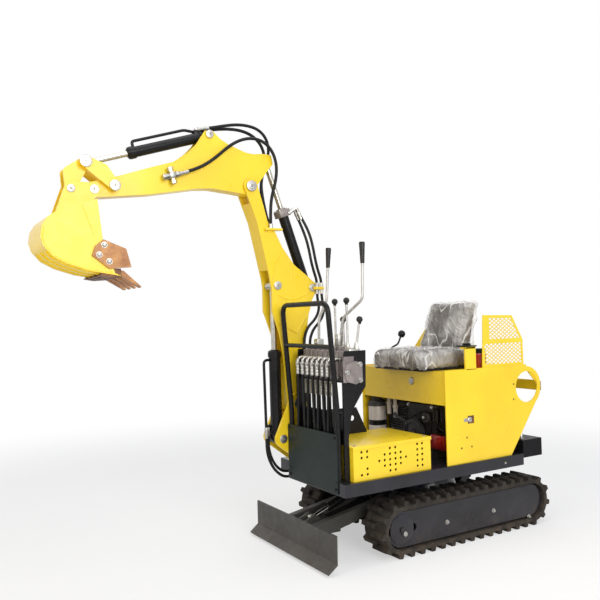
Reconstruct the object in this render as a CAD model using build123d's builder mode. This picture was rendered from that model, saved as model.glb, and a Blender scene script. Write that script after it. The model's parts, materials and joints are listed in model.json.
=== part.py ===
from build123d import *
import os
from math import atan2, cos, degrees, hypot, pi, sin

os.makedirs("parts", exist_ok=True)

# Small tracked digger with an open seat, all sizes in millimetres.
# X points forward, Y to the left and Z up, from the ground under the turning axis.

# Rubber track: 180 wide, 72 pitch, 37 links
TRACK_W = 180
LINK_PITCH = 72
LINK_COUNT = 37
CORD_R = 112
BELT_HALF = 11
LUG_H = 22
OVERALL_W = 830
WHEELBASE = (LINK_PITCH * LINK_COUNT - 2 * pi * CORD_R) / 2
BELT_IN_R = CORD_R - BELT_HALF
BELT_OUT_R = CORD_R + BELT_HALF
AXLE_Z = BELT_OUT_R + LUG_H
TRACK_Y = (OVERALL_W - TRACK_W) / 2
FRAME_PLATE = 10
FRAME_HALF_W = 70
FRAME_END_R = 92
BEAM_LOW = AXLE_Z - 15
BEAM_HIGH = AXLE_Z + 40
ROLLER_R = 40

# Fits
PIN_GAP = 0.3
SIDE_GAP = 0.8

# Chassis and turning ring
CHASSIS_HALF_Y = TRACK_Y - FRAME_HALF_W
CHASSIS_HALF_X = 240
RING_R = 180
RING_Z = 300
RING_STEP = 28
DECK_LOW = 362
DECK_TOP = 428

# Dozer blade
BLADE_X = 918
BLADE_TOP = 194
BLADE_T = 10
BLADE_PIVOT = (400, 230)
BLADE_ARM_Y = 120
BLADE_ARM_W = 40
BLADE_PIN_R = 14
BLADE_BASE = (440, 305)
BLADE_EYE = (800, 165)

# Upper frame
DECK_HALF_W = 400
DECK_FRONT = 842
DECK_FRONT_RIGHT = 760
DECK_REAR = -440
STEP_Y = 235 - DECK_HALF_W
TAIL_X = -600
PANEL_Y = DECK_HALF_W - 12
PANEL_T = 6
PANEL_FRONT = 150
PANEL_TOP = 952
RING_HOLE = (-500, 818)
RING_HOLE_R = 92
RING_RIM = 30

# Boom, arm and bucket pins as (x, z) in the plane of the boom
BOOM_Y = STEP_Y - 65
BOOM_FOOT = (770, 780)
BOOM_CYL_BASE = (876, 586)
BOOM_CYL_EYE = (881, 1453)
ARM_CYL_BASE = (650, 1441)
ARM_PIVOT = (1032, 2010)
ARM_CYL_EYE = (908, 2170)
BUCKET_CYL_BASE = (1271, 2279)
ROCKER_PIVOT = (1802, 1954)
ROCKER_TOP = (1944.5, 2063)
LINK_PIN = (2013, 1927)
BUCKET_PIVOT = (1899, 1931)
BOOM_HALF = 57
BOOM_GAP = 45
ARM_HALF = 40
BUCKET_HALF = 160
PIN_R = 15
EAR_NEAR = 41
EAR_FAR = 52
ROCKER_NEAR = 58
ROCKER_T = 11

pieces = {}


def upright(y):
    """Sketch plane facing right at the given y: sketch x is forward and sketch y is up."""
    return Plane.XZ.offset(-y)


def stretch(*rounds):
    """Outline pulled tight round circles given as (x, z, radius), in the open sketch."""
    for x, z, r in rounds:
        with Locations((x, z)):
            Circle(r)
    make_hull()


def outline(*points):
    """Filled polygon through the points, in the open sketch."""
    Polygon(*points, align=None)


def cross_bar(x, z, r, y_from, y_to, mode=Mode.ADD):
    """Round bar along y, in the open part."""
    with BuildSketch(upright((y_from + y_to) / 2)) as disc:
        with Locations((x, z)):
            Circle(r)
    extrude(disc.sketch, amount=abs(y_to - y_from) / 2, both=True, mode=mode)


def along(a, b):
    """Length and tilt of the line from pin a to pin b, tilt in degrees above forward."""
    return hypot(b[0] - a[0], b[1] - a[1]), degrees(atan2(b[1] - a[1], b[0] - a[0]))


def on_line(a, b, y):
    """Plane at pin a whose normal points at pin b and whose sketch x is along y."""
    length, tilt = along(a, b)
    return Plane(
        origin=(a[0], y, a[1]),
        x_dir=(0, 1, 0),
        z_dir=((b[0] - a[0]) / length, 0, (b[1] - a[1]) / length),
    )


def keep(part, name):
    """Notes a finished piece under its file name."""
    part.label = name
    pieces[name] = part


# Rubber tracks, each one loop with staggered lugs


def lug_places(shift):
    """Places of the lugs round the loop, their foot on the belt and pointing outward."""
    half_turn = pi * CORD_R
    for index in range(LINK_COUNT):
        way = (index + shift) * LINK_PITCH
        if way < WHEELBASE:
            yield Location((way - WHEELBASE / 2, AXLE_Z + BELT_OUT_R), 0)
        elif way < WHEELBASE + half_turn:
            turn = (way - WHEELBASE) / CORD_R
            x = WHEELBASE / 2 + BELT_OUT_R * sin(turn)
            yield Location((x, AXLE_Z + BELT_OUT_R * cos(turn)), -degrees(turn))
        elif way < 2 * WHEELBASE + half_turn:
            x = WHEELBASE / 2 - (way - WHEELBASE - half_turn)
            yield Location((x, AXLE_Z - BELT_OUT_R), 180)
        else:
            turn = pi + (way - 2 * WHEELBASE - half_turn) / CORD_R
            x = -WHEELBASE / 2 + BELT_OUT_R * sin(turn)
            yield Location((x, AXLE_Z + BELT_OUT_R * cos(turn)), -degrees(turn))


for side, name in ((1, "track_left"), (-1, "track_right")):
    with BuildPart() as track:
        with BuildSketch(upright(side * TRACK_Y)):
            with Locations((0, AXLE_Z)):
                SlotCenterToCenter(WHEELBASE, 2 * BELT_OUT_R)
                SlotCenterToCenter(WHEELBASE, 2 * BELT_IN_R, mode=Mode.SUBTRACT)
        extrude(amount=TRACK_W / 2, both=True)
        for shift, across in ((0.25, TRACK_W / 4 - 4), (0.75, 4 - TRACK_W / 4)):
            with BuildSketch(upright(side * (TRACK_Y + across))):
                with Locations(*lug_places(shift)):
                    with Locations((0, -3)):
                        Trapezoid(36, LUG_H + 3, 76, align=(Align.CENTER, Align.MIN))
            extrude(amount=TRACK_W / 4 + 4, both=True)
    keep(track.part, name)


# Track frames with their wheels

for side, hand in ((1, "left"), (-1, "right")):
    outer = side * (TRACK_Y + FRAME_HALF_W - FRAME_PLATE / 2)
    inner = side * (TRACK_Y - FRAME_HALF_W + FRAME_PLATE / 2)
    middle = side * TRACK_Y
    gap_half = FRAME_HALF_W - FRAME_PLATE

    with BuildPart() as track_frame:
        for plate_y in (outer, inner):
            with BuildSketch(upright(plate_y)):
                with Locations((0, AXLE_Z)):
                    SlotCenterToCenter(WHEELBASE, 2 * FRAME_END_R)
                with Locations((WHEELBASE / 2, AXLE_Z)):
                    SlotCenterToCenter(160, 40, mode=Mode.SUBTRACT)
                with Locations((WHEELBASE / 2 + 100, AXLE_Z)):
                    Rectangle(80, 40, mode=Mode.SUBTRACT)
            extrude(amount=FRAME_PLATE / 2, both=True)
        with BuildSketch(upright(middle)):
            with Locations((-20, (BEAM_LOW + BEAM_HIGH) / 2)):
                Rectangle(620, BEAM_HIGH - BEAM_LOW)
        extrude(amount=gap_half, both=True)
    keep(track_frame.part, "track_frame_" + hand)

    with BuildPart() as idler:
        with BuildSketch(upright(middle)):
            with Locations((WHEELBASE / 2, AXLE_Z)):
                Circle(BELT_IN_R - 0.5)
        extrude(amount=28, both=True)
        for face in (-1, 1):
            with BuildSketch(upright(middle + face * 20)):
                with Locations((WHEELBASE / 2, AXLE_Z)):
                    Circle(80)
                    Circle(34, mode=Mode.SUBTRACT)
            extrude(amount=10, both=True, mode=Mode.SUBTRACT)
        cross_bar(WHEELBASE / 2, AXLE_Z, 32, middle - gap_half, middle + gap_half)
        with BuildSketch(upright(middle)):
            with Locations((WHEELBASE / 2, AXLE_Z)):
                Rectangle(70, 39)
        extrude(amount=FRAME_HALF_W, both=True)
        with BuildSketch(upright(side * (TRACK_Y + FRAME_HALF_W))):
            with Locations((WHEELBASE / 2, AXLE_Z)):
                RegularPolygon(16, 6)
        extrude(amount=12, both=True)
    keep(idler.part, "idler_" + hand)

    with BuildPart() as sprocket:
        with BuildSketch(upright(middle)):
            with Locations((-WHEELBASE / 2, AXLE_Z)):
                Circle(84)
                with PolarLocations(88, 11):
                    Rectangle(24, 18)
        extrude(amount=20, both=True)
        cross_bar(-WHEELBASE / 2, AXLE_Z, 60, middle - gap_half, middle + gap_half)
    keep(sprocket.part, "sprocket_" + hand)

    with BuildPart() as rollers:
        for x in (-260, -20, 220):
            z = AXLE_Z - BELT_IN_R + ROLLER_R + PIN_GAP
            cross_bar(x, z, ROLLER_R, middle - 40, middle + 40)
            cross_bar(x, z, 14, middle - gap_half, middle + gap_half)
        z = AXLE_Z + BELT_IN_R - 22 - PIN_GAP
        cross_bar(-20, z, 22, middle - 40, middle + 40)
        cross_bar(-20, z, 12, middle - gap_half, middle + gap_half)
    keep(rollers.part, "rollers_" + hand)

with BuildPart() as travel_motors:
    for side in (1, -1):
        cross_bar(-WHEELBASE / 2, AXLE_Z, 70, side * (CHASSIS_HALF_Y - 25), side * CHASSIS_HALF_Y)
        cross_bar(-WHEELBASE / 2, AXLE_Z, 48, side * (CHASSIS_HALF_Y - 110), side * (CHASSIS_HALF_Y - 20))
keep(travel_motors.part, "travel_motors")


# Chassis between the tracks, with the blade's ears and the fixed half of the turning ring

EAR_IN = BLADE_ARM_Y - BLADE_ARM_W / 2 - SIDE_GAP
EAR_OUT = BLADE_ARM_Y + BLADE_ARM_W / 2 + SIDE_GAP

with BuildPart() as chassis:
    with BuildSketch(Plane.XY.offset(BEAM_LOW)):
        Rectangle(2 * CHASSIS_HALF_X, 2 * CHASSIS_HALF_Y)
    extrude(amount=75)
    with BuildSketch(Plane.XY.offset(BEAM_LOW + 75)):
        Circle(RING_R + 30)
    with BuildSketch(Plane.XY.offset(RING_Z)):
        Circle(RING_R)
    loft()
    with BuildSketch(Plane.XY.offset(BEAM_LOW + 10)):
        with Locations((CHASSIS_HALF_X + 40, 0)):
            Rectangle(120, 340)
    extrude(amount=110)
    for side in (1, -1):
        for near, far in ((EAR_IN - 14, EAR_IN), (EAR_OUT, EAR_OUT + 14)):
            with BuildSketch(upright(side * (near + far) / 2)):
                stretch((*BLADE_PIVOT, 32), (300, 230, 32), (300, 170, 25))
            extrude(amount=(far - near) / 2, both=True)
        cross_bar(*BLADE_PIVOT, BLADE_PIN_R, side * (EAR_IN - 20), side * (EAR_OUT + 20))
    for near, far in ((-40, -26), (26, 40)):
        with BuildSketch(upright((near + far) / 2)):
            stretch((*BLADE_BASE, 24), (300, 300, 20), (300, 200, 20), (380, 200, 20))
        extrude(amount=(far - near) / 2, both=True)
    cross_bar(*BLADE_BASE, 12, -40, 40)
keep(chassis.part, "chassis")

with BuildPart() as ring_fixed:
    with BuildSketch(Plane.XY.offset(RING_Z)):
        Circle(RING_R)
        Circle(RING_R - 45, mode=Mode.SUBTRACT)
    extrude(amount=RING_STEP)
keep(ring_fixed.part, "turning_ring_fixed")


# Dozer blade on two arms

with BuildPart() as blade:
    with BuildSketch(upright(0)):
        outline(
            (BLADE_X, BLADE_TOP),
            (BLADE_X, 60),
            (BLADE_X + 51, 20),
            (BLADE_X + 47, 12),
            (BLADE_X - 8, 50),
            (BLADE_X - BLADE_T, BLADE_TOP),
        )
    extrude(amount=OVERALL_W / 2, both=True)
    for side in (1, -1):
        with BuildSketch(upright(side * BLADE_ARM_Y)):
            stretch((*BLADE_PIVOT, 30), (480, 205, 30))
            with BuildLine():
                Polyline((470, 237), (BLADE_X - 5, 160), (BLADE_X - 5, 80), (470, 177), close=True)
            make_face()
            with Locations(BLADE_PIVOT):
                Circle(BLADE_PIN_R + PIN_GAP, mode=Mode.SUBTRACT)
        extrude(amount=BLADE_ARM_W / 2, both=True)
    with BuildSketch(upright(0)):
        with Locations((720, 130)):
            Rectangle(60, 50)
    extrude(amount=BLADE_ARM_Y, both=True)
    for near, far in ((-40, -24), (24, 40)):
        with BuildSketch(upright((near + far) / 2)):
            stretch((*BLADE_EYE, 26), (BLADE_X - 20, 130, 20), (740, 140, 10))
        extrude(amount=(far - near) / 2, both=True)
keep(blade.part, "blade")


# Cylinders: a barrel with its eye on one pin and a rod with its eye on the other


def barrel_body(a, b, y, length, r, eye_r, eye_half, pin_r):
    """Barrel with its closed end and eye at pin a, pointing at pin b."""
    with BuildSketch(on_line(a, b, y)) as tube:
        Circle(r)
    extrude(tube.sketch, amount=length)
    cross_bar(*a, eye_r, y - eye_half, y + eye_half)
    cross_bar(*a, pin_r + PIN_GAP, y - 2 * r, y + 2 * r, Mode.SUBTRACT)


def bore_body(a, b, y, start, length, r):
    """Bore for the rod, open at the gland."""
    with BuildSketch(on_line(a, b, y).offset(start)) as bore:
        Circle(r)
    extrude(bore.sketch, amount=length, mode=Mode.SUBTRACT)


def rod_body(a, b, y, start, r, eye_r, eye_half):
    """Rod from inside the barrel up to its eye at pin b, the eye's pin with it."""
    length, tilt = along(a, b)
    with BuildSketch(on_line(a, b, y).offset(start)) as bar:
        Circle(r)
    extrude(bar.sketch, amount=length - start)
    cross_bar(*b, eye_r, y - eye_half, y + eye_half)


BLADE_STROKE_ROOM = 45
with BuildPart() as blade_barrel:
    barrel_body(BLADE_BASE, BLADE_EYE, 0, 270, 25, 22, 25, 12)
    bore_body(BLADE_BASE, BLADE_EYE, 0, 40, 300, 13.5)
keep(blade_barrel.part, "blade_cylinder_barrel")
with BuildPart() as blade_rod:
    rod_body(BLADE_BASE, BLADE_EYE, 0, 40 + BLADE_STROKE_ROOM, 13, 20, 22)
keep(blade_rod.part, "blade_cylinder_rod")

BOOM_CYL = along(BOOM_CYL_BASE, BOOM_CYL_EYE)[0]
ARM_CYL = along(ARM_CYL_BASE, ARM_CYL_EYE)[0]
BUCKET_CYL = along(BUCKET_CYL_BASE, ROCKER_TOP)[0]

with BuildPart() as boom_barrel:
    barrel_body(BOOM_CYL_BASE, BOOM_CYL_EYE, BOOM_Y, 493, 34, 36, 44, PIN_R)
    bore_body(BOOM_CYL_BASE, BOOM_CYL_EYE, BOOM_Y, 60, 500, 18.5)
keep(boom_barrel.part, "boom_cylinder_barrel")
with BuildPart() as boom_rod:
    rod_body(BOOM_CYL_BASE, BOOM_CYL_EYE, BOOM_Y, 400, 18, 32, 40)
keep(boom_rod.part, "boom_cylinder_rod")

with BuildPart() as arm_barrel:
    barrel_body(ARM_CYL_BASE, ARM_CYL_EYE, BOOM_Y, 480, 30, 32, 43, PIN_R)
    bore_body(ARM_CYL_BASE, ARM_CYL_EYE, BOOM_Y, 50, 500, 16.5)
keep(arm_barrel.part, "arm_cylinder_barrel")
with BuildPart() as arm_rod:
    rod_body(ARM_CYL_BASE, ARM_CYL_EYE, BOOM_Y, 300, 16, 30, 24)
keep(arm_rod.part, "arm_cylinder_rod")

with BuildPart() as bucket_barrel:
    barrel_body(BUCKET_CYL_BASE, ROCKER_TOP, BOOM_Y, 460, 28, 28, 30, PIN_R)
    bore_body(BUCKET_CYL_BASE, ROCKER_TOP, BOOM_Y, 50, 500, 15.5)
keep(bucket_barrel.part, "bucket_cylinder_barrel")
with BuildPart() as bucket_rod:
    rod_body(BUCKET_CYL_BASE, ROCKER_TOP, BOOM_Y, 280, 15, 28, 22)
keep(bucket_rod.part, "bucket_cylinder_rod")


# Deck with its turning hub

with BuildPart() as deck:
    with BuildSketch(Plane.XY.offset(DECK_TOP - 12)):
        outline(
            (DECK_REAR, -DECK_HALF_W),
            (DECK_FRONT_RIGHT, -DECK_HALF_W),
            (DECK_FRONT_RIGHT, STEP_Y),
            (DECK_FRONT, STEP_Y),
            (DECK_FRONT, DECK_HALF_W),
            (DECK_REAR, DECK_HALF_W),
        )
    extrude(amount=12)
    with BuildSketch(Plane.XY.offset(DECK_LOW)):
        outline(
            (DECK_REAR, -DECK_HALF_W),
            (DECK_FRONT_RIGHT, -DECK_HALF_W),
            (DECK_FRONT_RIGHT, STEP_Y),
            (DECK_FRONT, STEP_Y),
            (DECK_FRONT, DECK_HALF_W),
            (DECK_REAR, DECK_HALF_W),
        )
        offset(amount=-10, mode=Mode.SUBTRACT)
    extrude(amount=DECK_TOP - DECK_LOW - 12)
    for x in (-250, 250):
        with BuildSketch(Plane.XY.offset(DECK_LOW)):
            with Locations((x, 0)):
                Rectangle(12, 2 * DECK_HALF_W - 20)
        extrude(amount=DECK_TOP - DECK_LOW - 12)
    with BuildSketch(Plane.XY.offset(RING_Z + RING_STEP + PIN_GAP)):
        Circle(RING_R - 4)
    extrude(amount=DECK_TOP - 12 - RING_Z - RING_STEP - PIN_GAP)
keep(deck.part, "deck")

with BuildPart() as counterweight:
    with BuildSketch(Plane.XY.offset(DECK_LOW + 40)):
        outline(
            (DECK_REAR, -DECK_HALF_W),
            (DECK_REAR, DECK_HALF_W),
            (TAIL_X, DECK_HALF_W),
            (TAIL_X, -DECK_HALF_W),
        )
    extrude(amount=103)
keep(counterweight.part, "counterweight")


# Side panels with the ring hole at the back

for side, name in ((1, "side_panel_left"), (-1, "side_panel_right")):
    with BuildPart() as panel:
        with BuildSketch(upright(side * (PANEL_Y - PANEL_T / 2))):
            outline(
                (PANEL_FRONT, DECK_TOP),
                (PANEL_FRONT, PANEL_TOP),
                (RING_HOLE[0], PANEL_TOP),
                (RING_HOLE[0] - 80, RING_HOLE[1] - 92),
                (-354, DECK_TOP),
            )
            with Locations(RING_HOLE):
                Circle(RING_HOLE_R + RING_RIM)
                Circle(RING_HOLE_R, mode=Mode.SUBTRACT)
        extrude(amount=PANEL_T / 2, both=True)
    keep(panel.part, name)

INNER_Y = PANEL_Y - PANEL_T

with BuildPart() as rear_bar:
    with BuildSketch(upright(0)):
        with Locations((RING_HOLE[0] - RING_HOLE_R - RING_RIM + 8, RING_HOLE[1])):
            Rectangle(8, 60)
    extrude(amount=INNER_Y, both=True)
keep(rear_bar.part, "rear_bar")

with BuildPart() as tank:
    with BuildSketch(Plane.XY.offset(757)):
        with Locations((0, 0)):
            Rectangle(2 * (PANEL_FRONT - 8), 2 * INNER_Y)
    extrude(amount=188)
keep(tank.part, "tank")

with BuildPart() as engine:
    with BuildSketch(Plane.XY.offset(DECK_TOP)):
        with Locations((-170, -40)):
            Rectangle(420, 440)
    extrude(amount=300)
keep(engine.part, "engine")


# Foot box, valve stand, valve, levers, guard and front plate

FOOT_FRONT = DECK_FRONT - 75
FOOT_LEFT = DECK_HALF_W - 20
PLATE_Y = (STEP_Y + 15, DECK_HALF_W - 60)
STAND_X = DECK_FRONT - 36
STAND_MID = (PLATE_Y[0] + PLATE_Y[1]) / 2 + 20

with BuildPart() as foot_box:
    with BuildSketch(Plane.XY.offset(DECK_TOP)):
        with Locations((FOOT_FRONT - 250, FOOT_LEFT / 2)):
            Rectangle(500, FOOT_LEFT)
    extrude(amount=164)
    with BuildSketch(Plane.XY.offset(DECK_TOP + 164)):
        with Locations((FOOT_FRONT - 248, FOOT_LEFT / 2)):
            Rectangle(512, FOOT_LEFT + 10)
    extrude(amount=8)
keep(foot_box.part, "foot_box")

with BuildPart() as valve_stand:
    for y in (PLATE_Y[1] + 5, PLATE_Y[0] + 40):
        with BuildSketch(upright(y)):
            outline(
                (STAND_X - 148, 1090),
                (STAND_X - 143, 905),
                (STAND_X - 51, 780),
                (STAND_X - 28, 650),
                (STAND_X - 28, DECK_TOP),
                (STAND_X, DECK_TOP),
                (STAND_X, 930),
                (STAND_X - 16, 1090),
            )
        extrude(amount=5, both=True)
    with BuildSketch(Plane.XY.offset(925)):
        with Locations((STAND_X - 81, STAND_MID)):
            Rectangle(110, PLATE_Y[1] - PLATE_Y[0] - 40)
    extrude(amount=8)
keep(valve_stand.part, "valve_stand")

with BuildPart() as valve:
    with BuildSketch(Plane.XY.offset(933)):
        with Locations((STAND_X - 81, STAND_MID)):
            Rectangle(90, PLATE_Y[1] - PLATE_Y[0] - 90)
    extrude(amount=150)
keep(valve.part, "valve")

with BuildPart() as levers:
    foot = (STAND_X - 81, 1095)
    for side, back, top in ((-115, 75, 1640), (185, 75, 1660), (-55, 35, 1330), (35, 35, 1330), (85, 35, 1250)):
        with BuildSketch(Plane.XY.offset(1083)):
            with Locations((foot[0], STAND_MID + side)):
                Circle(14)
        extrude(amount=24)
        tip = (foot[0] - back, top)
        with BuildSketch(on_line(foot, tip, STAND_MID + side)):
            Circle(6)
        extrude(amount=along(foot, tip)[0])
keep(levers.part, "levers")

GUARD_R = 15
with BuildPart() as front_plate:
    with BuildSketch(Plane.YZ.offset(DECK_FRONT)):
        with Locations(((PLATE_Y[0] + PLATE_Y[1]) / 2, 520)):
            Rectangle(PLATE_Y[1] - PLATE_Y[0], 300)
    extrude(amount=6)
keep(front_plate.part, "front_plate")

with BuildPart() as guard:
    for y in (PLATE_Y[0] + GUARD_R, PLATE_Y[1] - GUARD_R):
        with BuildLine() as leg:
            Polyline((DECK_FRONT - GUARD_R, y, DECK_TOP), (DECK_FRONT - GUARD_R, y, 700), (DECK_FRONT + 30, y, 1320))
        with BuildSketch(Plane(origin=leg.line @ 0, z_dir=leg.line % 0)):
            Circle(GUARD_R)
        sweep(transition=Transition.RIGHT)
    cross_bar(DECK_FRONT + 30, 1320, GUARD_R, PLATE_Y[0], PLATE_Y[1])
    cross_bar(DECK_FRONT + 16, 1120, GUARD_R, PLATE_Y[0] + GUARD_R, PLATE_Y[1] - GUARD_R)
keep(guard.part, "guard_frame")


# Seat and what stands round it

SEAT_Y = 30
SEAT_Z = 945
with BuildPart() as seat_cushion:
    with BuildSketch(Plane.XY.offset(SEAT_Z)):
        with Locations((70, SEAT_Y)):
            Rectangle(400, 470)
    extrude(amount=120)
keep(seat_cushion.part, "seat_cushion")

with BuildPart() as seat_back:
    with BuildSketch(upright(SEAT_Y)):
        outline((-130, SEAT_Z + 60), (-130, SEAT_Z + 130), (-200, 1340), (-260, 1340), (-200, SEAT_Z))
    extrude(amount=200, both=True)
keep(seat_back.part, "seat_back")

with BuildPart() as mesh_guard:
    with BuildSketch(upright(PANEL_Y - PANEL_T)):
        outline((-143, PANEL_TOP), (-157, 1254), (-396, 1249), (-483, 1103), (-484, PANEL_TOP))
    extrude(amount=3, both=True)
keep(mesh_guard.part, "mesh_guard")


# Boom bracket on the deck

with BuildPart() as boom_bracket:
    for near, far in ((-77, -58), (58, 77)):
        with BuildSketch(upright(BOOM_Y + (near + far) / 2)):
            stretch((*BOOM_FOOT, 60), (*BOOM_CYL_BASE, 48), (620, DECK_TOP + 20, 20), (740, DECK_TOP + 20, 20))
            with Locations((680, DECK_TOP + 20)):
                Rectangle(160, 40)
            with Locations((680, DECK_TOP - 40)):
                Rectangle(400, 80, mode=Mode.SUBTRACT)
        extrude(amount=(far - near) / 2, both=True)
    with BuildSketch(upright(BOOM_Y)):
        outline((620, DECK_TOP), (640, DECK_TOP), (640, 640), (620, 600))
    extrude(amount=58, both=True)
    cross_bar(*BOOM_FOOT, 20, BOOM_Y - 77, BOOM_Y + 77)
    cross_bar(*BOOM_CYL_BASE, PIN_R, BOOM_Y - 77, BOOM_Y + 77)
keep(boom_bracket.part, "boom_bracket")


# Boom

with BuildPart() as boom:
    with BuildSketch(upright(BOOM_Y)):
        outline(
            (712, 780),
            (739, 1021),
            (701, 1137),
            (674, 1296),
            (654, 1363),
            (616, 1425),
            (616, 1460),
            (685, 1514),
            (767, 1574),
            (840, 1670),
            (889, 1765),
            (933, 1818),
            (958, 1908),
            (990, 2015),
            (1074, 2005),
            (1000, 1812),
            (928, 1502),
            (917, 1431),
            (917, 1305),
            (872, 1178),
            (850, 1050),
            (828, 780),
        )
        with Locations(BOOM_FOOT):
            Circle(57)
        with Locations(ARM_PIVOT):
            Circle(42)
    extrude(amount=BOOM_HALF, both=True)
    with BuildSketch(upright(BOOM_Y)):
        outline((1000, 690), (812, 690), (812, 1000), (785, 1150), (785, 1480), (820, 1540), (1000, 1540))
        with Locations(ARM_PIVOT):
            Circle(95)
        outline((560, 1350), (650, 1375), (705, 1400), (740, 1450), (745, 1530), (790, 1604), (560, 1610))
    extrude(amount=BOOM_GAP, both=True, mode=Mode.SUBTRACT)
    cross_bar(*BOOM_FOOT, 20 + PIN_GAP, BOOM_Y - BOOM_HALF, BOOM_Y + BOOM_HALF, Mode.SUBTRACT)
    cross_bar(*ARM_PIVOT, 18, BOOM_Y - BOOM_HALF - 10, BOOM_Y + BOOM_HALF + 10)
    cross_bar(*ARM_CYL_BASE, PIN_R, BOOM_Y - BOOM_HALF - 8, BOOM_Y + BOOM_HALF + 8)
    for side in (1, -1):
        cross_bar(*BOOM_CYL_EYE, 22, BOOM_Y + side * (BOOM_GAP - 4), BOOM_Y + side * (BOOM_HALF + 8))
keep(boom.part, "boom")


# Arm

with BuildPart() as arm:
    with BuildSketch(upright(BOOM_Y)):
        outline(
            (1890, 1892),
            (1609, 1927),
            (1454, 1956),
            (1346, 1976),
            (1263, 1983),
            (1128, 1972),
            (1040, 1962),
            (985, 2020),
            (916, 2108),
            (880, 2150),
            (890, 2200),
            (940, 2204),
            (1010, 2196),
            (1057, 2202),
            (1155, 2234),
            (1206, 2260),
            (1250, 2300),
            (1296, 2296),
            (1351, 2213),
            (1395, 2168),
            (1476, 2110),
            (1606, 2068),
            (1769, 2011),
            (1905, 1970),
        )
        with Locations(BUCKET_PIVOT):
            Circle(40)
        with Locations(ARM_PIVOT):
            Circle(48)
    extrude(amount=ARM_HALF, both=True)
    with BuildSketch(upright(BOOM_Y)):
        outline((860, 2100), (960, 2110), (1000, 2180), (1000, 2260), (860, 2260))
    extrude(amount=27, both=True, mode=Mode.SUBTRACT)
    with BuildSketch(upright(BOOM_Y)):
        outline((1200, 2330), (1200, 2224), (1300, 2224), (1440, 2138), (1440, 2330))
    extrude(amount=31, both=True, mode=Mode.SUBTRACT)
    cross_bar(*ARM_PIVOT, 18 + PIN_GAP, BOOM_Y - ARM_HALF, BOOM_Y + ARM_HALF, Mode.SUBTRACT)
    cross_bar(*BUCKET_CYL_BASE, PIN_R, BOOM_Y - ARM_HALF - 8, BOOM_Y + ARM_HALF + 8)
    cross_bar(*ROCKER_PIVOT, 24, BOOM_Y - ROCKER_NEAR + SIDE_GAP, BOOM_Y + ROCKER_NEAR - SIDE_GAP)
    cross_bar(*ROCKER_PIVOT, PIN_R, BOOM_Y - ROCKER_NEAR - ROCKER_T - 6, BOOM_Y + ROCKER_NEAR + ROCKER_T + 6)
    cross_bar(*BUCKET_PIVOT, PIN_R, BOOM_Y - EAR_FAR - 2, BOOM_Y + EAR_FAR + 2)
keep(arm.part, "arm")


# Rocker plates, bucket link and bucket

with BuildPart() as rocker:
    for side in (1, -1):
        with BuildSketch(upright(BOOM_Y + side * (ROCKER_NEAR + ROCKER_T / 2))):
            stretch((*ROCKER_PIVOT, 26), (1860, 2030, 30), (*ROCKER_TOP, 28))
            with Locations(ROCKER_PIVOT):
                Circle(PIN_R + PIN_GAP, mode=Mode.SUBTRACT)
        extrude(amount=ROCKER_T / 2, both=True)
        cross_bar(*ROCKER_TOP, 22, BOOM_Y + side * (ARM_HALF + SIDE_GAP), BOOM_Y + side * ROCKER_NEAR)
        cross_bar(*ROCKER_TOP, PIN_R, BOOM_Y + side * ROCKER_NEAR, BOOM_Y + side * (ROCKER_NEAR + ROCKER_T + 7))
keep(rocker.part, "rocker")

with BuildPart() as bucket_link:
    for side in (1, -1):
        with BuildSketch(upright(BOOM_Y + side * 34)):
            stretch((*ROCKER_TOP, 26), (2020, 2010, 26), (*LINK_PIN, 26))
        extrude(amount=6, both=True)
    cross_bar(1992, 1986, 12, BOOM_Y - 34, BOOM_Y + 34)
keep(bucket_link.part, "bucket_link")

with BuildPart() as bucket:
    with BuildSketch(upright(BOOM_Y)):
        outline(
            (1915, 1865),
            (1892, 1670),
            (1836, 1507),
            (1804, 1493),
            (1966, 1519),
            (2062, 1549),
            (2125, 1583),
            (2166, 1630),
            (2179, 1673),
            (2172, 1725),
            (2147, 1766),
            (2100, 1800),
        )
    extrude(amount=BUCKET_HALF, both=True)
    with BuildSketch(upright(BOOM_Y)):
        outline(
            (1890, 1850),
            (1870, 1670),
            (1810, 1507),
            (1804, 1503),
            (1966, 1529),
            (2058, 1558),
            (2118, 1591),
            (2156, 1634),
            (2168, 1673),
            (2162, 1721),
            (2140, 1759),
            (2096, 1790),
            (1924, 1850),
        )
    extrude(amount=BUCKET_HALF - 8, both=True, mode=Mode.SUBTRACT)
    for near, far in ((-EAR_FAR, -EAR_NEAR), (EAR_NEAR, EAR_FAR)):
        with BuildSketch(upright(BOOM_Y + (near + far) / 2)):
            stretch((*BUCKET_PIVOT, 34), (*LINK_PIN, 32), (1930, 1866, 8), (2080, 1808, 8))
            with Locations(BUCKET_PIVOT):
                Circle(PIN_R + PIN_GAP, mode=Mode.SUBTRACT)
        extrude(amount=(far - near) / 2, both=True)
        cross_bar(*LINK_PIN, PIN_R, BOOM_Y + near, BOOM_Y + far)
keep(bucket.part, "bucket")

with BuildPart() as teeth:
    for step in (-1.5, -0.5, 0.5, 1.5):
        with BuildSketch(upright(BOOM_Y + step * 85)):
            outline((1803.7, 1493), (1705, 1437), (1703, 1443), (1790, 1520), (1850, 1528), (1850, 1511.2), (1803.7, 1503.6))
        extrude(amount=20, both=True)
keep(teeth.part, "bucket_teeth")


# Every piece moves into the frame of the whole machine: middle of its box, on the ground

machine_box = Compound(list(pieces.values())).bounding_box()
FRAME_SHIFT_X = -(machine_box.min.X + machine_box.max.X) / 2
to_frame = Location((FRAME_SHIFT_X, 0, 0))
for name, piece in pieces.items():
    export_step(piece.moved(to_frame), f"parts/{name}.step")
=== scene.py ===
import bmesh
import bpy
import json
from math import cos, pi, radians, sin
from mathutils import Matrix, Vector, noise


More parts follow.
